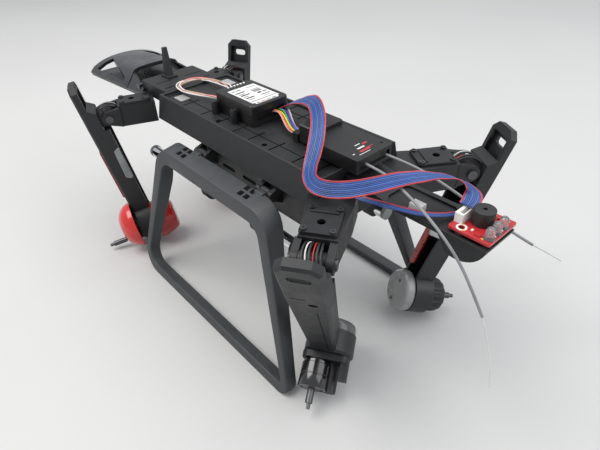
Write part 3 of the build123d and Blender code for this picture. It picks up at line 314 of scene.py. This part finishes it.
def slab(name, outline, low, high, look, body, bevel=0.3, frame_at=None, replaced=()):
    """A plate from a plan outline in millimetres, between two heights."""
    count = len(outline)
    verts = [mm(x, y, low) for x, y in outline] + [mm(x, y, high) for x, y in outline]
    faces = [list(range(count))[::-1], list(range(count, 2 * count))]
    faces += [[i, (i + 1) % count, count + (i + 1) % count, count + i] for i in range(count)]
    if frame_at is not None:
        verts = [frame_at @ v for v in verts]
    made = link(name, mesh(name, verts, faces), look, body, replaced)
    if bevel:
        bevelled(made, bevel)
    return made


def rect(cx, cy, width, depth, corner=0.0):
    """A rectangle's outline, its corners rounded."""
    hx, hy = width / 2, depth / 2
    if not corner:
        return [(cx - hx, cy - hy), (cx + hx, cy - hy), (cx + hx, cy + hy), (cx - hx, cy + hy)]
    points = []
    for sx, sy, start in ((1, 1, 0), (-1, 1, 90), (-1, -1, 180), (1, -1, 270)):
        for step in range(5):
            turn = math.radians(start + step * 22.5)
            points.append(
                (
                    cx + sx * (hx - corner) + corner * math.cos(turn),
                    cy + sy * (hy - corner) + corner * math.sin(turn),
                )
            )
    return points


def disc(cx, cy, radius, steps=24):
    return [
        (cx + radius * math.cos(2 * math.pi * i / steps), cy + radius * math.sin(2 * math.pi * i / steps))
        for i in range(steps)
    ]


RIB_INNER = 10.0


def lathe(
    name,
    profile,
    at,
    look,
    body,
    steps=64,
    thick=0.0,
    capped=True,
    replaced=(),
    ribs=0,
    groove=0.0,
):
    """A turned piece: (radius, height) pairs about the local Z of at, in millimetres.

    A thick one is a shell. Ribs are sunk by groove where the piece is wider than RIB_INNER.
    """
    verts, faces = [], []
    for radius, height in profile:
        for step in range(steps):
            turn = 2 * math.pi * step / steps
            sunk = groove if ribs and (step * ribs * 2 // steps) % 2 and radius > RIB_INNER else 0.0
            reach = radius - sunk
            verts.append(at @ mm(reach * math.cos(turn), reach * math.sin(turn), height))
    for row in range(len(profile) - 1):
        for step in range(steps):
            nxt = (step + 1) % steps
            faces.append(
                [row * steps + step, row * steps + nxt, (row + 1) * steps + nxt, (row + 1) * steps + step]
            )
    if capped and not thick:
        faces.append(list(range(steps))[::-1])
        faces.append([(len(profile) - 1) * steps + i for i in range(steps)])
    made = link(name, mesh(name, verts, faces), look, body, replaced)
    if thick:
        solid = made.modifiers.new("solid", "SOLIDIFY")
        solid.thickness = thick * MM
        solid.offset = -1
        applied(made)
    shade(made.data, 40)
    return made


def cut(made, outlines, low, high, at, body, angle=40):
    """Takes holes with the given plan outlines out of a piece."""
    tools = []
    for number, outline in enumerate(outlines):
        tool = slab("cut", outline, low, high, None, body, 0, at)
        hole = made.modifiers.new("cut%d" % number, "BOOLEAN")
        hole.object = tool
        hole.solver = "EXACT"
        tools.append(tool)
    applied(made)
    for tool in tools:
        bpy.data.objects.remove(tool)
    shade(made.data, angle)
    return made


def eased(points, steps=5):
    """The points with rounded ones between them, through every given point."""
    found = []
    for k in range(len(points) - 1):
        a, b, c, d = (Vector(points[max(0, min(len(points) - 1, k + j))]) for j in (-1, 0, 1, 2))
        for step in range(steps):
            t = step / steps
            found.append(
                tuple(
                    0.5
                    * (
                        2 * b
                        + (c - a) * t
                        + (2 * a - 5 * b + 4 * c - d) * t * t
                        + (3 * b - a - 3 * c + d) * t**3
                    )
                )
            )
    found.append(tuple(points[-1]))
    return found


def nurbs(name, points):
    """A smooth curve that has the points as its control points."""
    data = bpy.data.curves.new(name, "CURVE")
    data.dimensions = "3D"
    data.resolution_u = 12
    spline = data.splines.new("NURBS")
    spline.points.add(len(points) - 1)
    for spot, point in zip(spline.points, points):
        spot.co = (*mm(*point), 1.0)
    spline.order_u = 3
    spline.use_endpoint_u = True
    return data


def line_of(points):
    """The points along the smooth curve of a route."""
    probe = bpy.data.objects.new("probe", nurbs("probe", points))
    bpy.context.scene.collection.objects.link(probe)
    bpy.context.view_layer.update()
    found = bpy.data.meshes.new_from_object(
        probe.evaluated_get(bpy.context.evaluated_depsgraph_get())
    )
    line = [v.co.copy() for v in found.vertices]
    bpy.data.objects.remove(probe)
    bpy.data.meshes.remove(found)
    return line


def measure(line):
    return sum((b - a).length for a, b in zip(line, line[1:]))


def wire(name, points, radius, look, body="root", replaced=()):
    data = nurbs(name, points)
    data.bevel_depth = radius * MM
    data.bevel_resolution = 4
    data.use_fill_caps = True
    return link(name, data, look, body, replaced)


def cord(name, points, radius, look, replaced=()):
    made = wire(name, points, radius, look, replaced=replaced)
    measure(line_of(points))
    return made


def strip(name, points, rolls, profile, looks, replaced):
    """A flat cable swept along a smooth curve and banked by rolls, in degrees, point by point."""
    line = line_of(points)
    count = len(profile)
    verts, faces, kinds = [], [], []
    for step, spot in enumerate(line):
        before = line[max(0, step - 1)]
        after = line[min(len(line) - 1, step + 1)]
        along = (after - before).normalized()
        level_side = along.cross(Vector((0, 0, 1)))
        level_side.normalize()
        place = step / (len(line) - 1) * (len(rolls) - 1)
        low = min(int(place), len(rolls) - 2)
        blend = place - low
        blend = blend * blend * (3 - 2 * blend)
        roll = math.radians(rolls[low] * (1 - blend) + rolls[low + 1] * blend)
        rise = level_side.cross(along)
        side = level_side * math.cos(roll) - rise * math.sin(roll)
        normal = side.cross(along)
        for across, lift, _ in profile:
            verts.append(spot + side * across * MM + normal * lift * MM)
    for step in range(len(line) - 1):
        for k in range(count):
            a = step * count + k
            b = step * count + (k + 1) % count
            faces.append([a, b, b + count, a + count])
            kinds.append(profile[k][2])
    faces.append(list(range(count))[::-1])
    faces.append([(len(line) - 1) * count + k for k in range(count)])
    kinds += [0, 0]
    data = bpy.data.meshes.new(name)
    data.from_pydata([tuple(v) for v in verts], [], faces)
    for face, kind in zip(data.polygons, kinds):
        face.material_index = kind
        face.use_smooth = True
    made = link(name, data, looks, "root", replaced)
    return made


def ribbon_profile(wires, pitch, half_groove, half_peak, kinds):
    """A flat cable's section: touching round wires, as (across, lift, kind) round the section. The flanks
    down into each groove take kind 3, a dark navy painted as shade, except beside a red wire.
    """
    top = []
    for k in range(wires):
        start = (k - wires / 2) * pitch
        # kind 3 is the painted shade in the grooves between wires; a red wire keeps its own red there
        sunk = kinds[k] if kinds[k] == 2 else 3
        top.append((start, half_groove, sunk))
        top.append((start + 0.16 * pitch, half_peak * 0.8, kinds[k]))
        top.append((start + 0.5 * pitch, half_peak, kinds[k]))
        top.append((start + 0.84 * pitch, half_peak * 0.8, sunk))
    top.append((wires / 2 * pitch, half_groove, kinds[-1]))
    bottom = [(x, -lift, kind) for x, lift, kind in reversed(top)]
    return top + bottom


# ---- leads and antennas ----
RIBBON = [
    (31, 12, 166.4), (40, 12.5, 172), (52, 11.5, 177.8), (64, 8.8, 182.5), (76, 2.8, 184.5),
    (87, -5, 181.5), (96, -14.5, 175.5), (103, -24.5, 168.5), (109, -34.5, 163), (118, -42, 161.2),
    (129.5, -42.5, 161.6), (141, -35.5, 163), (151, -25, 165.8), (160, -13.5, 169), (169, -2.5, 170.4),
    (178, 7, 170.2), (187, 11.5, 168.4), (193.6, 10.5, 165.8), (196.2, 6, 163.2), (196.2, 1.5, 161.4),
]
KINDS = [2, 0, 1, 0, 0, 1, 0, 0, 1, 2]
strip(
    "ribbon",
    RIBBON,
    [0, 8, 20, 34, 30, 12, 0, 8, 26, 50, 62, 50, 36, 26, 10, -12, -30, -26, -12, 0],
    ribbon_profile(10, 1.05, 0.16, 0.36, KINDS),
    # the fourth look is the painted shade in the grooves between wires
    [RIBBON_BLUE, RIBBON_PALE, RIBBON_RED, RIBBON_GROOVE_SHADE],
    ["ribbon_cable"],
)
SIDE_RIBBON = [
    (120.4, -20, 151.5), (131, -24.5, 153.5), (143, -25.5, 154), (155, -21.5, 154),
    (167, -16.5, 153.5), (178, -11.5, 153.2), (187, -5, 153.6), (192.2, 4, 153.4),
]
strip(
    "side_flat_lead",
    SIDE_RIBBON,
    [0, 10, 20, 20, 10, 10, 0, 0],
    ribbon_profile(4, 1.05, 0.16, 0.36, [2, 0, 1, 0]),
    # the fourth look is the painted shade in the grooves between wires
    [RIBBON_BLUE, RIBBON_PALE, RIBBON_RED, RIBBON_GROOVE_SHADE],
    ["side_ribbon"],
)
RAINBOW = [
    (31, 7, 166), (36.8, 6.2, 167.4), (42.8, 3.8, 166.9), (48.8, 0.8, 165.2), (54.6, -1.8, 163.5),
    (60.4, -3.4, 162.6), (65.9, -4.3, 162.4),
]
RAINBOW_COLOURS = ["pink", "orange", "yellow", "green", "blue", "purple", "white"]
RAINBOW_PITCH, RAINBOW_CLOSING = 1.7, 0.13
for k, colour in enumerate(RAINBOW_COLOURS):
    spread = k - len(RAINBOW_COLOURS) // 2
    route = [
        (
            x,
            y + (RAINBOW_PITCH - RAINBOW_CLOSING * i) * spread,
            z + (0.7 * math.sin(k * 2.1 + i) if i < len(RAINBOW) - 1 else 0),
        )
        for i, (x, y, z) in enumerate(RAINBOW)
    ]
    cord("rainbow_" + colour, route, 0.55, WIRES[colour], ["rainbow_wires"] if spread == 0 else [])

REAR_LEADS = [
    (-17.5, 4, 166), (-26, 5, 167), (-36, 8.5, 166), (-47, 11.5, 164), (-58, 13, 163),
    (-69, 11.5, 162.8), (-78, 6, 162.6), (-83, -2, 162.4), (-82, -10.5, 162), (-75, -16.5, 162.2),
    (-65, -18.5, 162), (-54, -16.8, 162.4), (-43, -12.8, 162.8), (-32, -9.8, 163.4),
    (-23.5, -8.6, 163.8), (-16.3, -8.2, 163.9),
]
REAR_PITCH = 1.3
for k, colour in enumerate(["white", "pink", "tan", "white", "red"]):
    route = [
        (
            x + 1.6 * math.sin(1.7 * k + 0.6 * i),
            y + REAR_PITCH * (k - 2) * (1 - 0.05 * i) + 0.8 * math.cos(1.3 * k + i),
            z + 0.7 * math.sin(2.0 * k + 0.9 * i),
        )
        for i, (x, y, z) in enumerate(REAR_LEADS)
    ]
    route[0] = (-17.5, 4 + REAR_PITCH * (k - 2), 166)
    route[-1] = (-16.6, -8.2 + REAR_PITCH * (k - 2), 163.9)
    cord("rear_lead_%d" % k, route, 0.6, WIRES[colour], ["rear_leads"] if k == 0 else [])

ANTENNA_FRONT = [
    (132.2, -9, 166), (143, -9.5, 166), (155, -12, 166), (168, -15.5, 164), (181, -18, 160.5),
    (194, -19.5, 154), (207, -20, 144), (218, -20.5, 131), (228, -20, 115), (235, -19.5, 98),
    (240, -19, 81), (242.5, -19, 66),
]
ANTENNA_SIDE = [
    (132.2, 10, 165), (144, 13, 163.4), (158, 17.5, 159.4), (173, 20.5, 154), (188, 21.5, 149.5),
    (202, 23, 145), (214, 27, 139), (224, 34.5, 131.5), (231, 45, 123), (235.5, 57, 113),
]


def antenna(name, points, node_name, sleeve_points):
    sleeve = wire(name + "_sleeve", sleeve_points, 0.85, ANTENNA_GREY)
    cord(
        name, points, 0.5, ANTENNA_WHITE, [node_name]
    )


antenna("antenna_front_lead", ANTENNA_FRONT, "antenna_front", ANTENNA_FRONT[:9])
antenna("antenna_side_lead", ANTENNA_SIDE, "antenna_side", ANTENNA_SIDE[:8])


# ---- skid loops: a moulded band bent round the opening ----
LEAN = math.radians(10.0)
PLATE_RISE = math.radians(10.6)
LOOP_X = MID_X - 3.5
FOOT_Y = 84.2
LOOP_TOP = 134.5  # up the outboard face, from the foot to the plate's crease
BEND_START = 104.0  # where the band begins to turn into the plate
BAND_DEEP = 9.8  # at the foot; it grows by BAND_GROWTH up to the top
BAND_GROWTH = 4.2
PLATE_WIDE = 15.4
PLATE_THICK = 4.0
HINGE_Y, HINGE_Z = 41.0, 132.2
TAB_STATIONS = (-31.8, 47.2)
HOLE_STATIONS = (-41.0, 40.0)


def rounded(points, radii, steps=9):
    """A closed outline with its corners rounded, all with the same number of points."""
    found = []
    count = len(points)
    for k in range(count):
        before, here, after = (Vector(points[(k + j) % count]) for j in (-1, 0, 1))
        a, b = (before - here).normalized(), (after - here).normalized()
        half = a.angle(b) / 2
        radius = radii[k]
        centre = here + (a + b).normalized() * (radius / math.sin(half))
        start = here + a * (radius / math.tan(half)) - centre
        turn = math.pi - 2 * half
        way = 1 if a.x * b.y - a.y * b.x < 0 else -1
        for step in range(steps + 1):
            angle = way * turn * step / steps
            found.append(
                centre
                + Vector(
                    (
                        start.x * math.cos(angle) - start.y * math.sin(angle),
                        start.x * math.sin(angle) + start.y * math.cos(angle),
                    )
                )
            )
    return found


def resampled(points, corner_steps):
    """The same outline with points added along its straight runs."""
    found = []
    size = corner_steps + 1
    for k in range(0, len(points), size):
        arc = points[k : k + size]
        nxt = points[(k + size) % len(points)]
        found += arc
        for j in range(1, 13):
            found.append(arc[-1].lerp(nxt, j / 13))
    return found


OUTER = resampled(rounded([(-108, 0), (110.5, 0), (70, LOOP_TOP), (-70, LOOP_TOP)], [19, 9, 22, 22]), 9)
INNER = resampled(rounded([(-99, 9), (101.5, 9), (61.5, 123), (-61.5, 123)], [13, 4, 13, 13]), 9)


def skid(side, suffix):
    """The loop's band: outboard face, inner wall, inboard face and the broad outer wall."""
    face_up = Vector((0, -side * math.sin(LEAN), math.cos(LEAN)))
    face_in = Vector((0, -side * math.cos(LEAN), -math.sin(LEAN)))
    plate_in = Vector((0, -side * math.cos(PLATE_RISE), math.sin(PLATE_RISE)))
    foot = Vector((LOOP_X, side * FOOT_Y, 0))
    rails = [[], [], [], []]
    for outer, inner in zip(OUTER, INNER):
        high = max(0.0, min(1.0, (outer.y - BEND_START) / (LOOP_TOP - BEND_START)))
        high = high * high * (3 - 2 * high)
        deep = BAND_DEEP + BAND_GROWTH * max(0.0, outer.y) / LOOP_TOP
        inward = (face_in * (1 - high) + plate_in * high).normalized()
        wide = deep + (PLATE_WIDE - deep) * high
        out_p = foot + Vector((outer.x, 0, 0)) + face_up * outer.y
        in_p = foot + Vector((inner.x, 0, 0)) + face_up * inner.y
        rails[0].append(out_p)
        rails[1].append(in_p)
        under = in_p + face_in * deep
        shelf = out_p + inward * wide
        rails[2].append(under.lerp(shelf - face_up * PLATE_THICK, high))
        rails[3].append(shelf)
    count = len(OUTER)
    verts = [p * MM for rail in rails for p in rail]
    for v in verts:
        v.z = max(v.z, 0.0)
    faces = []
    for k in range(4):
        for j in range(count):
            a = k * count + j
            b = k * count + (j + 1) % count
            c = ((k + 1) % 4) * count + (j + 1) % count
            d = ((k + 1) % 4) * count + j
            faces.append([a, b, c, d])
    body = "skid_" + suffix
    made = link(
        "skid_band_" + suffix,
        mesh("skid_band_" + suffix, verts, faces),
        LOOP_GREY,
        body,
        ["skid_loop_" + suffix],
    )
    bevelled(made, 1.1, 3, 40)
    # square sight holes and small slots in the plate, cut through
    crease = foot + face_up * LOOP_TOP
    plane = Matrix((Vector((1, 0, 0)), plate_in, Vector((1, 0, 0)).cross(plate_in))).transposed().to_4x4()
    plane.translation = crease * MM
    holes = [
        rect(x + 3.3 * i, 9.2 + 3.1 * j, 4.7, 4.3, 0.7)
        for x in HOLE_STATIONS
        for i in (-1, 1)
        for j in (-1, 1)
    ]
    holes += [rect(x + 3.4 * i, 13.6, 4.4, 1.2, 0.3) for x in TAB_STATIONS for i in (-1, 1)]
    cut(made, holes, -9, 9, plane, body, 42)
    # hinge tabs under the plate's inboard edge
    for x in TAB_STATIONS:
        hub = Vector((LOOP_X + x, side * HINGE_Y, HINGE_Z))
        spin = Matrix((Vector((0, 1, 0)), Vector((0, 0, 1)), Vector((1, 0, 0)))).transposed().to_4x4()
        spin.translation = hub * MM
        lathe(
            "skid_knuckle_%s_%d" % (suffix, x),
            [(3.1, -4.4), (3.6, -3.9), (3.6, 3.9), (3.1, 4.4)],
            spin,
            LOOP_GREY,
            body,
            32,
        )
        web = [(0.5 * side, 3.2), (6.4 * side, 3.5), (8.2 * side, 0.2), (1.5 * side, -3.3)]
        slab("skid_web_%s_%d" % (suffix, x), web, -4.3, 4.3, LOOP_GREY, body, 0.4, spin)


skid(-1, "r")
skid(1, "l")

# ---- limbs: an arm's own frame runs l down the arm, y across it and o outward ----
LIMBS = {
    "rf": (112.5, 54.7, 57.0, 24.0),
    "lf": (112.5, 54.7, 57.0, 18.0),
    "rr": (-139.8, 45.9, 69.0, 10.0),
    "lr": (-139.8, 45.9, 69.0, 12.0),
}


HINGE_REACH = 22.0  # from a root plate's middle out to the hinge
ARM_HINGE_Z = 139.5


def limb(name, l=0.0, y=0.0, o=0.0):
    """The frame of one arm, moved to a point on it."""
    station, out, heading, lean = LIMBS[name]
    side = -1 if name[0] == "r" else 1
    end = 1 if station > 0 else -1
    turn, tilt = math.radians(heading), math.radians(lean)
    radial = Vector((end * math.cos(turn), side * math.sin(turn), 0))
    plumb = Vector((0, 0, 1))
    down = -math.sin(tilt) * radial - math.cos(tilt) * plumb
    outward = math.cos(tilt) * radial - math.sin(tilt) * plumb
    across = down.cross(outward) * -side
    made = Matrix((down, across, outward)).transposed().to_4x4()
    made.translation = (Vector((MID_X + station, side * out, ARM_HINGE_Z)) + HINGE_REACH * radial) * MM
    return made @ Matrix.Translation(mm(l, y, o))


# ---- pods: smooth turned hoods, cups and discs ----
REAR_HOOD = [
    (23.0, 21.3), (22.9, 24.0), (21.3, 28.6), (18.0, 32.8), (13.8, 35.8), (9.0, 37.5), (4.0, 38.0),
    (0.4, 38.0),
]
REAR_MOUTH = [
    (34, -9.5), (34, 12.5), (26, 12.0), (19, 9.0), (13, 6.2), (7, 6.6), (1, 7.6), (-4.6, 6.0), (-7.5, 1.2),
    (-6.6, -3.8), (-2.6, -7.0), (3, -7.6), (9, -7.0), (14, -7.4), (20, -10.0), (27, -12.0),
]
REAR_CUP = [
    (19.5, 3.8), (19.5, 1.0), (19.2, -2.0), (18.3, -6.0), (17.0, -10.0), (15.7, -13.4), (14.6, -15.6),
    (12.6, -16.9), (9.6, -17.2), (0.4, -17.2),
]
FRONT_DISC = [(17.0, 3.8), (17.0, 0.6), (16.8, -1.8), (16.0, -3.6), (14.4, -4.7), (12.0, -5.0), (0.4, -5.0)]
FRONT_HOOD = [(14.5, 21.3), (14.5, 27.0), (14.4, 30.0), (13.4, 33.2), (11.4, 35.4), (8.6, 36.8), (4.7, 37.4)]
POD_SCREWS = [disc(-9.5, 0, 1.6), disc(9.5, 0, 1.6)]

for suffix in ("rr", "lr"):
    body = "arm_" + suffix
    hood_at = limb(suffix, 112.5, -9.5)
    hood = lathe(
        "pod_hood_" + suffix,
        eased(REAR_HOOD),
        hood_at,
        RED_GLOSS,
        body,
        96,
        thick=1.7,
        replaced=["motor_hood_" + suffix],
    )
    cut(hood, [REAR_MOUTH], 10, 60, hood_at, body)
    cup_at = limb(suffix, 117, -8)
    cup = lathe(
        "pod_cup_" + suffix,
        eased(REAR_CUP),
        cup_at,
        RED_DEEP,
        body,
        96,
        replaced=["pod_lens_" + suffix],
    )
    cut(cup, POD_SCREWS, -19, -15.4, cup_at, body)

for suffix, look in (("rf", SMOKE), ("lf", LENS_GREY)):
    body = "arm_" + suffix
    disc_at = limb(suffix, 117, -3)
    plate = lathe(
        "pod_disc_" + suffix,
        eased(FRONT_DISC),
        disc_at,
        look,
        body,
        96,
        replaced=["pod_lens_" + suffix],
    )
    cut(plate, POD_SCREWS, -8, -3.2, disc_at, body)

lathe(
    "pod_hood_lf",
    eased(FRONT_HOOD, 4),
    limb("lf", 118, -3),
    BLACK,
    "arm_lf",
    112,
    thick=1.5,
    replaced=["motor_hood_lf"],
    ribs=14,
    groove=0.9,
)

# the front right motor: a gloss can with one groove round it
lathe(
    "motor_can_rf",
    [
        (9.6, 27.0), (9.6, 28.6), (10.2, 29.0), (10.2, 36.2), (9.9, 36.5), (9.9, 37.1), (10.2, 37.4),
        (10.2, 45.2), (9.7, 45.8), (8.4, 46.0), (8.2, 45.2), (3.2, 45.2), (3.2, 27.0),
    ],
    limb("rf", 115, 4),
    CAN_BLACK,
    "arm_rf",
    72,
)

# ---- arms: the plate and the insert on their side walls, drawn in (l, o) across y ----
EDGE_ON = Matrix(((1, 0, 0, 0), (0, 0, 1, 0), (0, 1, 0, 0), (0, 0, 0, 1)))
slab(
    "arm_plate_lf",
    [(41.8, -8.6), (44.8, -9.0), (53.6, -7.2), (56.0, 2.5), (54.6, 9.2), (48.6, 9.6), (45.4, 7.4)],
    -12.4,
    -10.2,
    PLATE_GREY,
    "arm_lf",
    0.3,
    limb("lf") @ EDGE_ON,
)
slab(
    "arm_insert_rr",
    [(27, 4.2), (30, 9.6), (58, 10.6), (61, 6.4), (59.4, 4.2)],
    -12.7,
    -10.4,
    CAP_GREY,
    "arm_rr",
    0.5,
    limb("rr") @ EDGE_ON,
)

# ---- tail hood: a smooth skin over the arched roof ----
HOOD_REAR, HOOD_EDGE = MID_X - 246.0, MID_X - 176.0
REAR_ARCH = [(41.0, 148.5), (25.0, 155.4), (9.0, 158.2)]
FRONT_ARCH = [(33.0, 146.8), (25.5, 156.5), (17.0, 162.6)]
HOOD_WINDOW = [(-238, 34.5), (-236, 16.5), (-222, 20.5), (-186, 28.5), (-186, 31)]


def arch(points):
    """A rounded arch line through its right half's points and their mirror."""
    return eased(points + [(-y, z) for y, z in reversed(points)], 8)


SKIN_RISE = 0.2  # above the roof's faces
SKIN_SPREAD = 1.004
SKIN_THICK = 1.6


def tail_skin():
    """The roof's arch from the rear lip to the front edge, with its two windows and rounded rear corners."""
    rear, front = arch(REAR_ARCH), arch(FRONT_ARCH)
    rows, verts, faces = 13, [], []
    for row in range(rows):
        part = row / (rows - 1)
        for (ya, za), (yb, zb) in zip(rear, front):
            y, z = ya + (yb - ya) * part, za + (zb - za) * part
            verts.append(mm(HOOD_REAR + (HOOD_EDGE - HOOD_REAR) * part, y * SKIN_SPREAD, z + SKIN_RISE))
    wide = len(rear)
    for row in range(rows - 1):
        for k in range(wide - 1):
            a = row * wide + k
            faces.append([a, a + 1, a + wide + 1, a + wide])
    made = link("tail_skin", mesh("tail_skin", verts, faces), HOOD_GREY, "root")
    top = made.data.polygons[wide * 6 + wide // 2].normal.z
    solid = made.modifiers.new("solid", "SOLIDIFY")
    solid.thickness = SKIN_THICK * MM
    solid.offset = -1 if top > 0 else 1
    applied(made)
    windows = [[(MID_X + x, side * y) for x, y in HOOD_WINDOW] for side in (-1, 1)]
    corners = [
        [
            (HOOD_REAR - 1, side * 33.0),
            (HOOD_REAR - 1, side * 45.0),
            (HOOD_REAR + 9, side * 45.0),
            (HOOD_REAR + 2.6, side * 38.5),
        ]
        for side in (-1, 1)
    ]
    cut(made, windows + corners, 130, 190, Matrix.Identity(4), "root", 32)


tail_skin()

# ---- leads at the arm roots ----
LEAD_PITCH = 2.1
LEAD_COLOURS = ["black", "black", "red", "black", "white", "black"]
THIN, THICK = 0.45, 0.75


def root_lead(name, suffix, route, look, radius):
    """A tube along a route in an arm's frame."""
    at = limb(suffix)
    placed = [tuple(at @ mm(*point) / MM) for point in route]
    data = nurbs(name, placed)
    data.bevel_depth = radius * MM
    data.bevel_resolution = 3
    data.use_fill_caps = True
    probe = bpy.data.objects.new("probe", data)
    bpy.context.scene.collection.objects.link(probe)
    bpy.context.view_layer.update()
    tube = bpy.data.meshes.new_from_object(probe.evaluated_get(bpy.context.evaluated_depsgraph_get()))
    bpy.data.objects.remove(probe)
    for face in tube.polygons:
        face.use_smooth = True
    tube.materials.clear()
    tube.materials.append(look)
    made = bpy.data.objects.new(name, tube)
    bpy.context.scene.collection.objects.link(made)
    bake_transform(made)


for suffix in LIMBS:
    for k, colour in enumerate(LEAD_COLOURS):
        shift = LEAD_PITCH * (k - 2.5)
        lift = 0.7 * math.sin(2.3 * k)
        root_lead(
            "root_lead_%s_%d" % (suffix, k),
            suffix,
            [
                (3, shift * 0.8, -12),
                (-3.5, shift * 0.8, -10.5),
                (-8.4 - lift, shift, -6.0),
                (-9.6 - lift, shift, 0.0),
                (-8.6 - lift, shift - 1.0, 5.0),
                (-6.4, shift - 1.6, 9.0),
                (-3.4, shift - 1.8, 12.0),
            ],
            WIRES[colour],
            THIN if colour in ("red", "white") else THICK,
        )

# ---- print on the boxes: plain bars and marks ----
# each mark is its middle (x, y), its length along x, its width along y and its look
LABEL_Z = 175.05
LABEL_BARS = [
    (-1.6, -9.6, 1.1, 3.2, INK), (-1.6, -5.0, 1.1, 4.2, INK), (-1.6, 6.5, 1.1, 7.5, SILVER_INK),
    (3.4, -7.0, 1.6, 8.4, INK), (6.9, -8.0, 1.2, 5.6, SILVER_INK), (9.6, -6.6, 1.6, 8.0, INK),
    (13.0, -8.4, 1.1, 5.0, SILVER_INK), (16.0, -6.8, 1.5, 7.6, INK), (19.4, -8.2, 1.0, 5.4, SILVER_INK),
    (4.0, 5.6, 0.9, 8.2, SILVER_INK), (7.6, 5.6, 4.4, 7.4, SILVER_INK), (12.6, 4.4, 2.6, 3.4, INK),
    (12.8, 9.0, 2.6, 3.4, SILVER_INK), (17.4, 6.4, 1.1, 8.4, INK), (20.4, 5.4, 0.9, 6.2, SILVER_INK),
    (23.6, 0.0, 0.7, 23.0, INK),
]
STRIP_X = 28.0
STRIP_BARS = [
    (STRIP_X, -8.6, 0.9, 2.6, INK), (STRIP_X, -4.4, 0.9, 3.8, BOARD_RED),
    (STRIP_X, 0.6, 0.9, 4.6, SILVER_INK), (STRIP_X, 6.2, 0.9, 4.4, INK),
]
LID_Z = 170.3
LID_MARKS = [
    (117.2, -0.6, 0.8, 4.6, LABEL), (118.6, 4.6, 1.5, 4.4, BOARD_RED), (121.2, -1.6, 1.4, 6.2, LABEL),
    (123.6, 4.0, 0.5, 6.0, BOARD_RED), (124.8, -1.6, 1.8, 9.2, BOARD_RED),
    (127.4, -4.6, 0.5, 10.0, LABEL), (124.4, -11.4, 0.8, 1.6, LABEL),
]


def marks(name, spots, low, high):
    """Thin flat bars lying on a box."""
    for k, (x, y, along, wide, look) in enumerate(spots):
        slab("%s_%d" % (name, k), rect(x, y, along, wide), low, high, look, "root", 0)


marks("label_bar", LABEL_BARS, LABEL_Z, LABEL_Z + 0.12)
slab("label_strip", rect(STRIP_X, -0.5, 2.2, 21.0, 0.3), 174.9, 175.14, WHITE, "root", 0)
marks("strip_bar", STRIP_BARS, 175.1, 175.22)
marks("lid_mark", LID_MARKS, LID_Z - 0.02, LID_Z + 0.06)


# ---- the sensor board's small parts ----
BOARD_TOP = 154.0
# each chip is its middle (x, y), its length along x, its width along y, its height and its look
CHIPS = [
    (199.0, -5.0, 1.2, 1.8, 0.5, GOLD), (202.4, -9.6, 1.8, 1.0, 0.5, GOLD),
    (205.4, -6.4, 1.2, 1.8, 0.5, WHITE), (213.0, -9.6, 1.6, 1.0, 0.5, GOLD),
    (215.2, 13.6, 1.6, 1.0, 0.5, GOLD), (204.2, 14.4, 2.4, 1.3, 0.7, BUZZER),
    (199.4, 14.6, 1.2, 1.8, 0.5, GOLD), (216.6, 3.6, 1.0, 1.6, 0.5, WHITE),
    (216.6, -3.4, 1.0, 1.6, 0.5, WHITE), (212.4, 3.5, 0.8, 1.6, 0.4, GOLD),
    (212.4, -3.2, 0.8, 1.6, 0.4, GOLD), (208.6, 11.8, 1.8, 0.9, 0.5, GOLD),
]
for k, (x, y, along, wide, high, look) in enumerate(CHIPS):
    slab("chip_%d" % k, rect(x, y, along, wide), BOARD_TOP, BOARD_TOP + high, look, "root", 0.08)
RING_HIGH = 0.12
lathe(
    "board_ring_0",
    [(3.0, BOARD_TOP), (3.0, BOARD_TOP + RING_HIGH), (1.9, BOARD_TOP + RING_HIGH), (1.9, BOARD_TOP)],
    Matrix.Translation(mm(200.0, -8.0, 0)),
    WHITE,
    "root",
    32,
    capped=False,
)

# ---- surroundings ----
FLOOR_HALF = 4000.0
corners = [mm(x, y, 0) for x, y in rect(0, 0, 2 * FLOOR_HALF, 2 * FLOOR_HALF)]
floor = bpy.data.objects.new("floor", mesh("floor", corners, [[0, 1, 2, 3]]))
bpy.context.scene.collection.objects.link(floor)
floor.data.materials.append(material("floor_pale", (0.55, 0.55, 0.54), 0.9, 0.03, 60, 0.02, blotch=2.0))

world = bpy.data.worlds.new("studio")
world.use_nodes = True
world.node_tree.nodes["Background"].inputs["Color"].default_value = (0.93, 0.95, 1.0, 1)
world.node_tree.nodes["Background"].inputs["Strength"].default_value = 0.62
bpy.context.scene.world = world


def lamp(name, place, aim, size, power, tint=(1, 1, 1)):
    data = bpy.data.lights.new(name, "AREA")
    data.size = size
    data.energy = power
    data.color = tint
    made = bpy.data.objects.new(name, data)
    bpy.context.scene.collection.objects.link(made)
    made.location = place
    made.rotation_euler = (Vector(aim) - Vector(place)).to_track_quat("-Z", "Y").to_euler()


lamp("key", (-0.5, -0.7, 1.5), (0, 0, 0.1), 1.1, 20.0, (1.0, 0.98, 0.95))
lamp("fill", (1.3, 0.5, 1.1), (0, 0, 0.1), 1.2, 9.0, (0.95, 0.97, 1.0))
lamp("top", (0.1, 0.6, 1.7), (0, 0, 0.1), 1.4, 12.0)
bpy.context.scene.view_settings.view_transform = "Standard"
bpy.context.scene.view_settings.look = "None"
